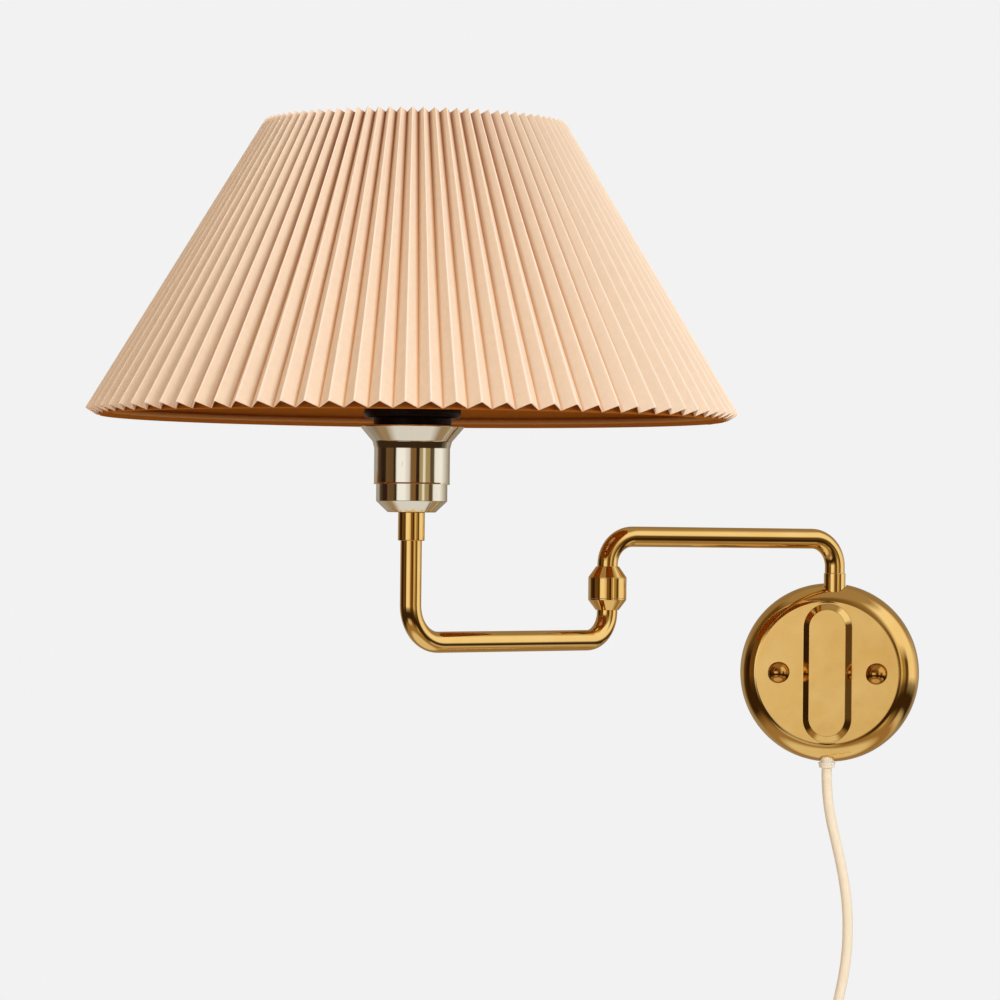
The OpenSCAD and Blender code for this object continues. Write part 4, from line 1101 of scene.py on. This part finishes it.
def make_floor():
    """Pale round floor under the part, fading out at its edge and open from below."""
    material, tree = bare_material("floor")
    place = own_place(tree)
    away = add(tree, "VectorMath", {"operation": "LENGTH"}, i0=place)["Value"]
    stops = {"i1": 0.45 * FLOOR_R, "i2": 0.98 * FLOOR_R, "i3": 0.0, "i4": 1.0}
    fade = add(tree, "MapRange", {"interpolation_type": "SMOOTHSTEP"}, i0=away, **stops)
    under = add(tree, "NewGeometry")["Backfacing"]
    hidden = calc(tree, "MAXIMUM", fade[0], under)
    paper = add(tree, "BsdfDiffuse", Color=shade_of(PAPER))[0]
    clear = add(tree, "BsdfTransparent")[0]
    both = add(tree, "MixShader", i0=hidden, i1=paper, i2=clear)[0]
    add(tree, "OutputMaterial", Surface=both)
    rim = [polar(FLOOR_R, a) for a in circle_angles(96)]
    floor = new_object("floor", rim, [list(range(len(rim)))])
    if floor.data.polygons[0].normal.z < 0:
        floor.data.flip_normals()
    floor.data.materials.append(material)
    floor.location.z = cad_box[0][2] - FLOOR_GAP
    floor.visible_glossy = False


def make_world():
    """Backdrop colour for the camera, gloss and glass; a dimmer level for the light itself."""
    world = bpy.data.worlds.new("studio")
    bpy.context.scene.world = world
    world.use_nodes = True
    tree = world.node_tree
    tree.nodes.clear()
    path = add(tree, "LightPath")
    seen = calc(tree, "MAXIMUM", path["Is Camera Ray"], path["Is Glossy Ray"])
    seen = calc(tree, "MAXIMUM", seen, path["Is Transmission Ray"])
    level = spread(tree, seen, 0.0, 1.0, WORLD_LIGHT, PAPER)
    tint = mixed(tree, seen, WORLD_TINT, 1)
    background = add(tree, "Background", Color=tint, Strength=level)[0]
    add(tree, "OutputWorld", Surface=background)


WORLD_LIGHT = 0.5
WORLD_TINT = (1.0, 0.87, 0.71)
TENT_R = 3.0

# What polished metal sees round about: degrees to the right of the camera, and the light there
DARK, BROWN, OLIVE = (0.03, 0.015, 0.008), (0.22, 0.11, 0.035), (0.4, 0.29, 0.13)
WARM_GREY, BRIGHT = (0.42, 0.37, 0.3), (0.98, 0.96, 0.9)
TENT_BANDS = [
    (-180, (0.33, 0.28, 0.22)), (-134, WARM_GREY), (-122, (0.1, 0.06, 0.03)), (-103, DARK),
    (-88, DARK), (-84, (0.15, 0.08, 0.03)), (-60, (0.13, 0.07, 0.025)), (-56, DARK),
    (-52, (0.05, 0.03, 0.015)), (-48, (0.9, 0.88, 0.84)), (-44, BRIGHT), (-24, BRIGHT),
    (-18, (0.84, 0.8, 0.76)), (-9, (0.72, 0.66, 0.56)), (-4, BROWN), (10, BROWN), (13, DARK),
    (20, DARK), (23, OLIVE), (31, (0.44, 0.33, 0.17)), (34, (0.9, 0.84, 0.66)),
    (39, (0.8, 0.72, 0.52)), (42, OLIVE), (54, OLIVE), (58, (0.1, 0.06, 0.03)),
    (69, (0.12, 0.08, 0.04)), (74, (0.92, 0.88, 0.8)), (100, BRIGHT), (120, (0.66, 0.6, 0.5)),
    (150, (0.3, 0.25, 0.19)), (180, (0.33, 0.28, 0.22)),
]
# The same higher up, and how deep the gloom below the horizon is round about
UPPER_BANDS = [
    (-180, (0.3, 0.23, 0.15)), (-128, (0.3, 0.23, 0.15)), (-112, (0.12, 0.07, 0.03)),
    (-50, (0.14, 0.08, 0.03)), (-8, (0.18, 0.11, 0.05)), (26, (0.3, 0.23, 0.13)), (44, BRIGHT),
    (102, BRIGHT), (120, (0.34, 0.26, 0.17)), (180, (0.3, 0.23, 0.15)),
]
GLOOM_BANDS = [(-180, 0), (-150, 0), (-118, 1), (118, 1), (150, 0), (180, 0)]
TENT_FLOOR = (0.74, 0.71, 0.64)
TENT_EARTH = (0.34, 0.23, 0.12)
TENT_GLOOM = (0.04, 0.022, 0.008)
TENT_TOP = (0.38, 0.3, 0.21)
# From straight down, 0, to straight up, 1: the gloom's strength, the ground's, the higher
# bands', the top's, and the ground's colour
TENT_RISES = (
    [(0.0, 0.0), (0.19, 0.0), (0.27, 1.0), (0.35, 1.0), (0.41, 0.7), (0.455, 0.0)],
    [(0.0, 1.0), (0.15, 1.0), (0.24, 0.0), (1.0, 0.0)],
    [(0.0, 0.0), (0.56, 0.0), (0.66, 1.0), (1.0, 1.0)],
    [(0.0, 0.0), (0.87, 0.0), (0.93, 1.0), (1.0, 1.0)],
    [(0.0, TENT_FLOOR), (0.05, TENT_FLOOR), (0.1, TENT_EARTH), (1.0, TENT_EARTH)],
)


def make_tent():
    """Light tent seen only by glossy reflections: soft upright panels with darker gaps."""
    material, tree = bare_material("tent")
    place = own_place(tree)
    parts = add(tree, "SeparateXYZ", Vector=place)
    # The tent's own +Y axis points at the camera, and +X to its right
    turn = calc(tree, "ARCTAN2", parts["X"], parts["Y"])
    share = spread(tree, turn, -pi, pi)
    panels, upper, deep = (
        ramp(tree, share, [((a + 180) / 360, colour) for a, colour in table])
        for table in (TENT_BANDS, UPPER_BANDS, GLOOM_BANDS)
    )
    reach = add(tree, "VectorMath", {"operation": "LENGTH"}, i0=place)["Value"]
    rise = spread(tree, calc(tree, "DIVIDE", parts["Z"], reach), -1.0, 1.0)
    gloom, under, high, above, ground = (ramp(tree, rise, stops) for stops in TENT_RISES)
    light = mixed(tree, high, panels, upper)
    light = mixed(tree, above, light, TENT_TOP)
    light = mixed(tree, calc(tree, "MULTIPLY", gloom, deep), light, TENT_GLOOM)
    light = mixed(tree, under, light, ground)
    glow = add(tree, "Emission", Color=light, Strength=1.0)[0]
    add(tree, "OutputMaterial", Surface=glow)

    work = bmesh.new()
    bmesh.ops.create_icosphere(work, subdivisions=4, radius=TENT_R)
    mesh = bpy.data.meshes.new("tent")
    work.to_mesh(mesh)
    work.free()
    mesh.materials.append(material)
    tent = in_scene("tent", mesh)
    centre = (Vector(cad_box[0]) + Vector(cad_box[1])) / 2
    tent.location = (centre.x, centre.y, 0.08)
    tent.rotation_euler.z = CAMERA_SIDE - pi / 2
    # Mirrored in X, so that angles count to the camera's right
    tent.scale.x = -1
    for kind in ("camera", "diffuse", "transmission", "shadow", "volume_scatter"):
        setattr(tent, "visible_" + kind, False)


def make_light(name, place, size, power, colour=(1, 1, 1)):
    """A rectangular lamp that shines at the shade and that gloss doesn't see."""
    data = bpy.data.lights.new(name, "AREA")
    data.shape = "RECTANGLE"
    data.size, data.size_y = size
    data.energy, data.color = power, colour
    light = in_scene(name, data)
    light.location = place
    aim = Vector((LAMP_AXIS.x, LAMP_AXIS.y, 0.15))
    light.rotation_euler = (aim - Vector(place)).to_track_quat("-Z", "Y").to_euler()
    light.visible_glossy = False


def make_lights():
    make_light("key", (1.6, -2.1, 1.0), (0.9, 1.2), 43, (1.0, 0.985, 0.96))
    make_light("back", (0.5, 1.9, 0.9), (1.4, 1.2), 12, (1.0, 0.97, 0.93))
    make_light("fill", (-1.5, -2.0, 0.4), (0.9, 1.6), 10, (1.0, 0.7, 0.46))
    make_light("top", (0.2, -0.6, 2.2), (1.4, 1.2), 8)


# The scene

make_camera()
make_cord()
make_plate()
make_domes()
make_arms()
make_swivels()
make_holder()
make_bush()
make_pleats()
make_liner()
make_bound_wire()
make_bulb()
dress_nodes()
make_floor()
make_world()
make_tent()
make_lights()
bpy.context.scene.view_settings.view_transform = "Standard"
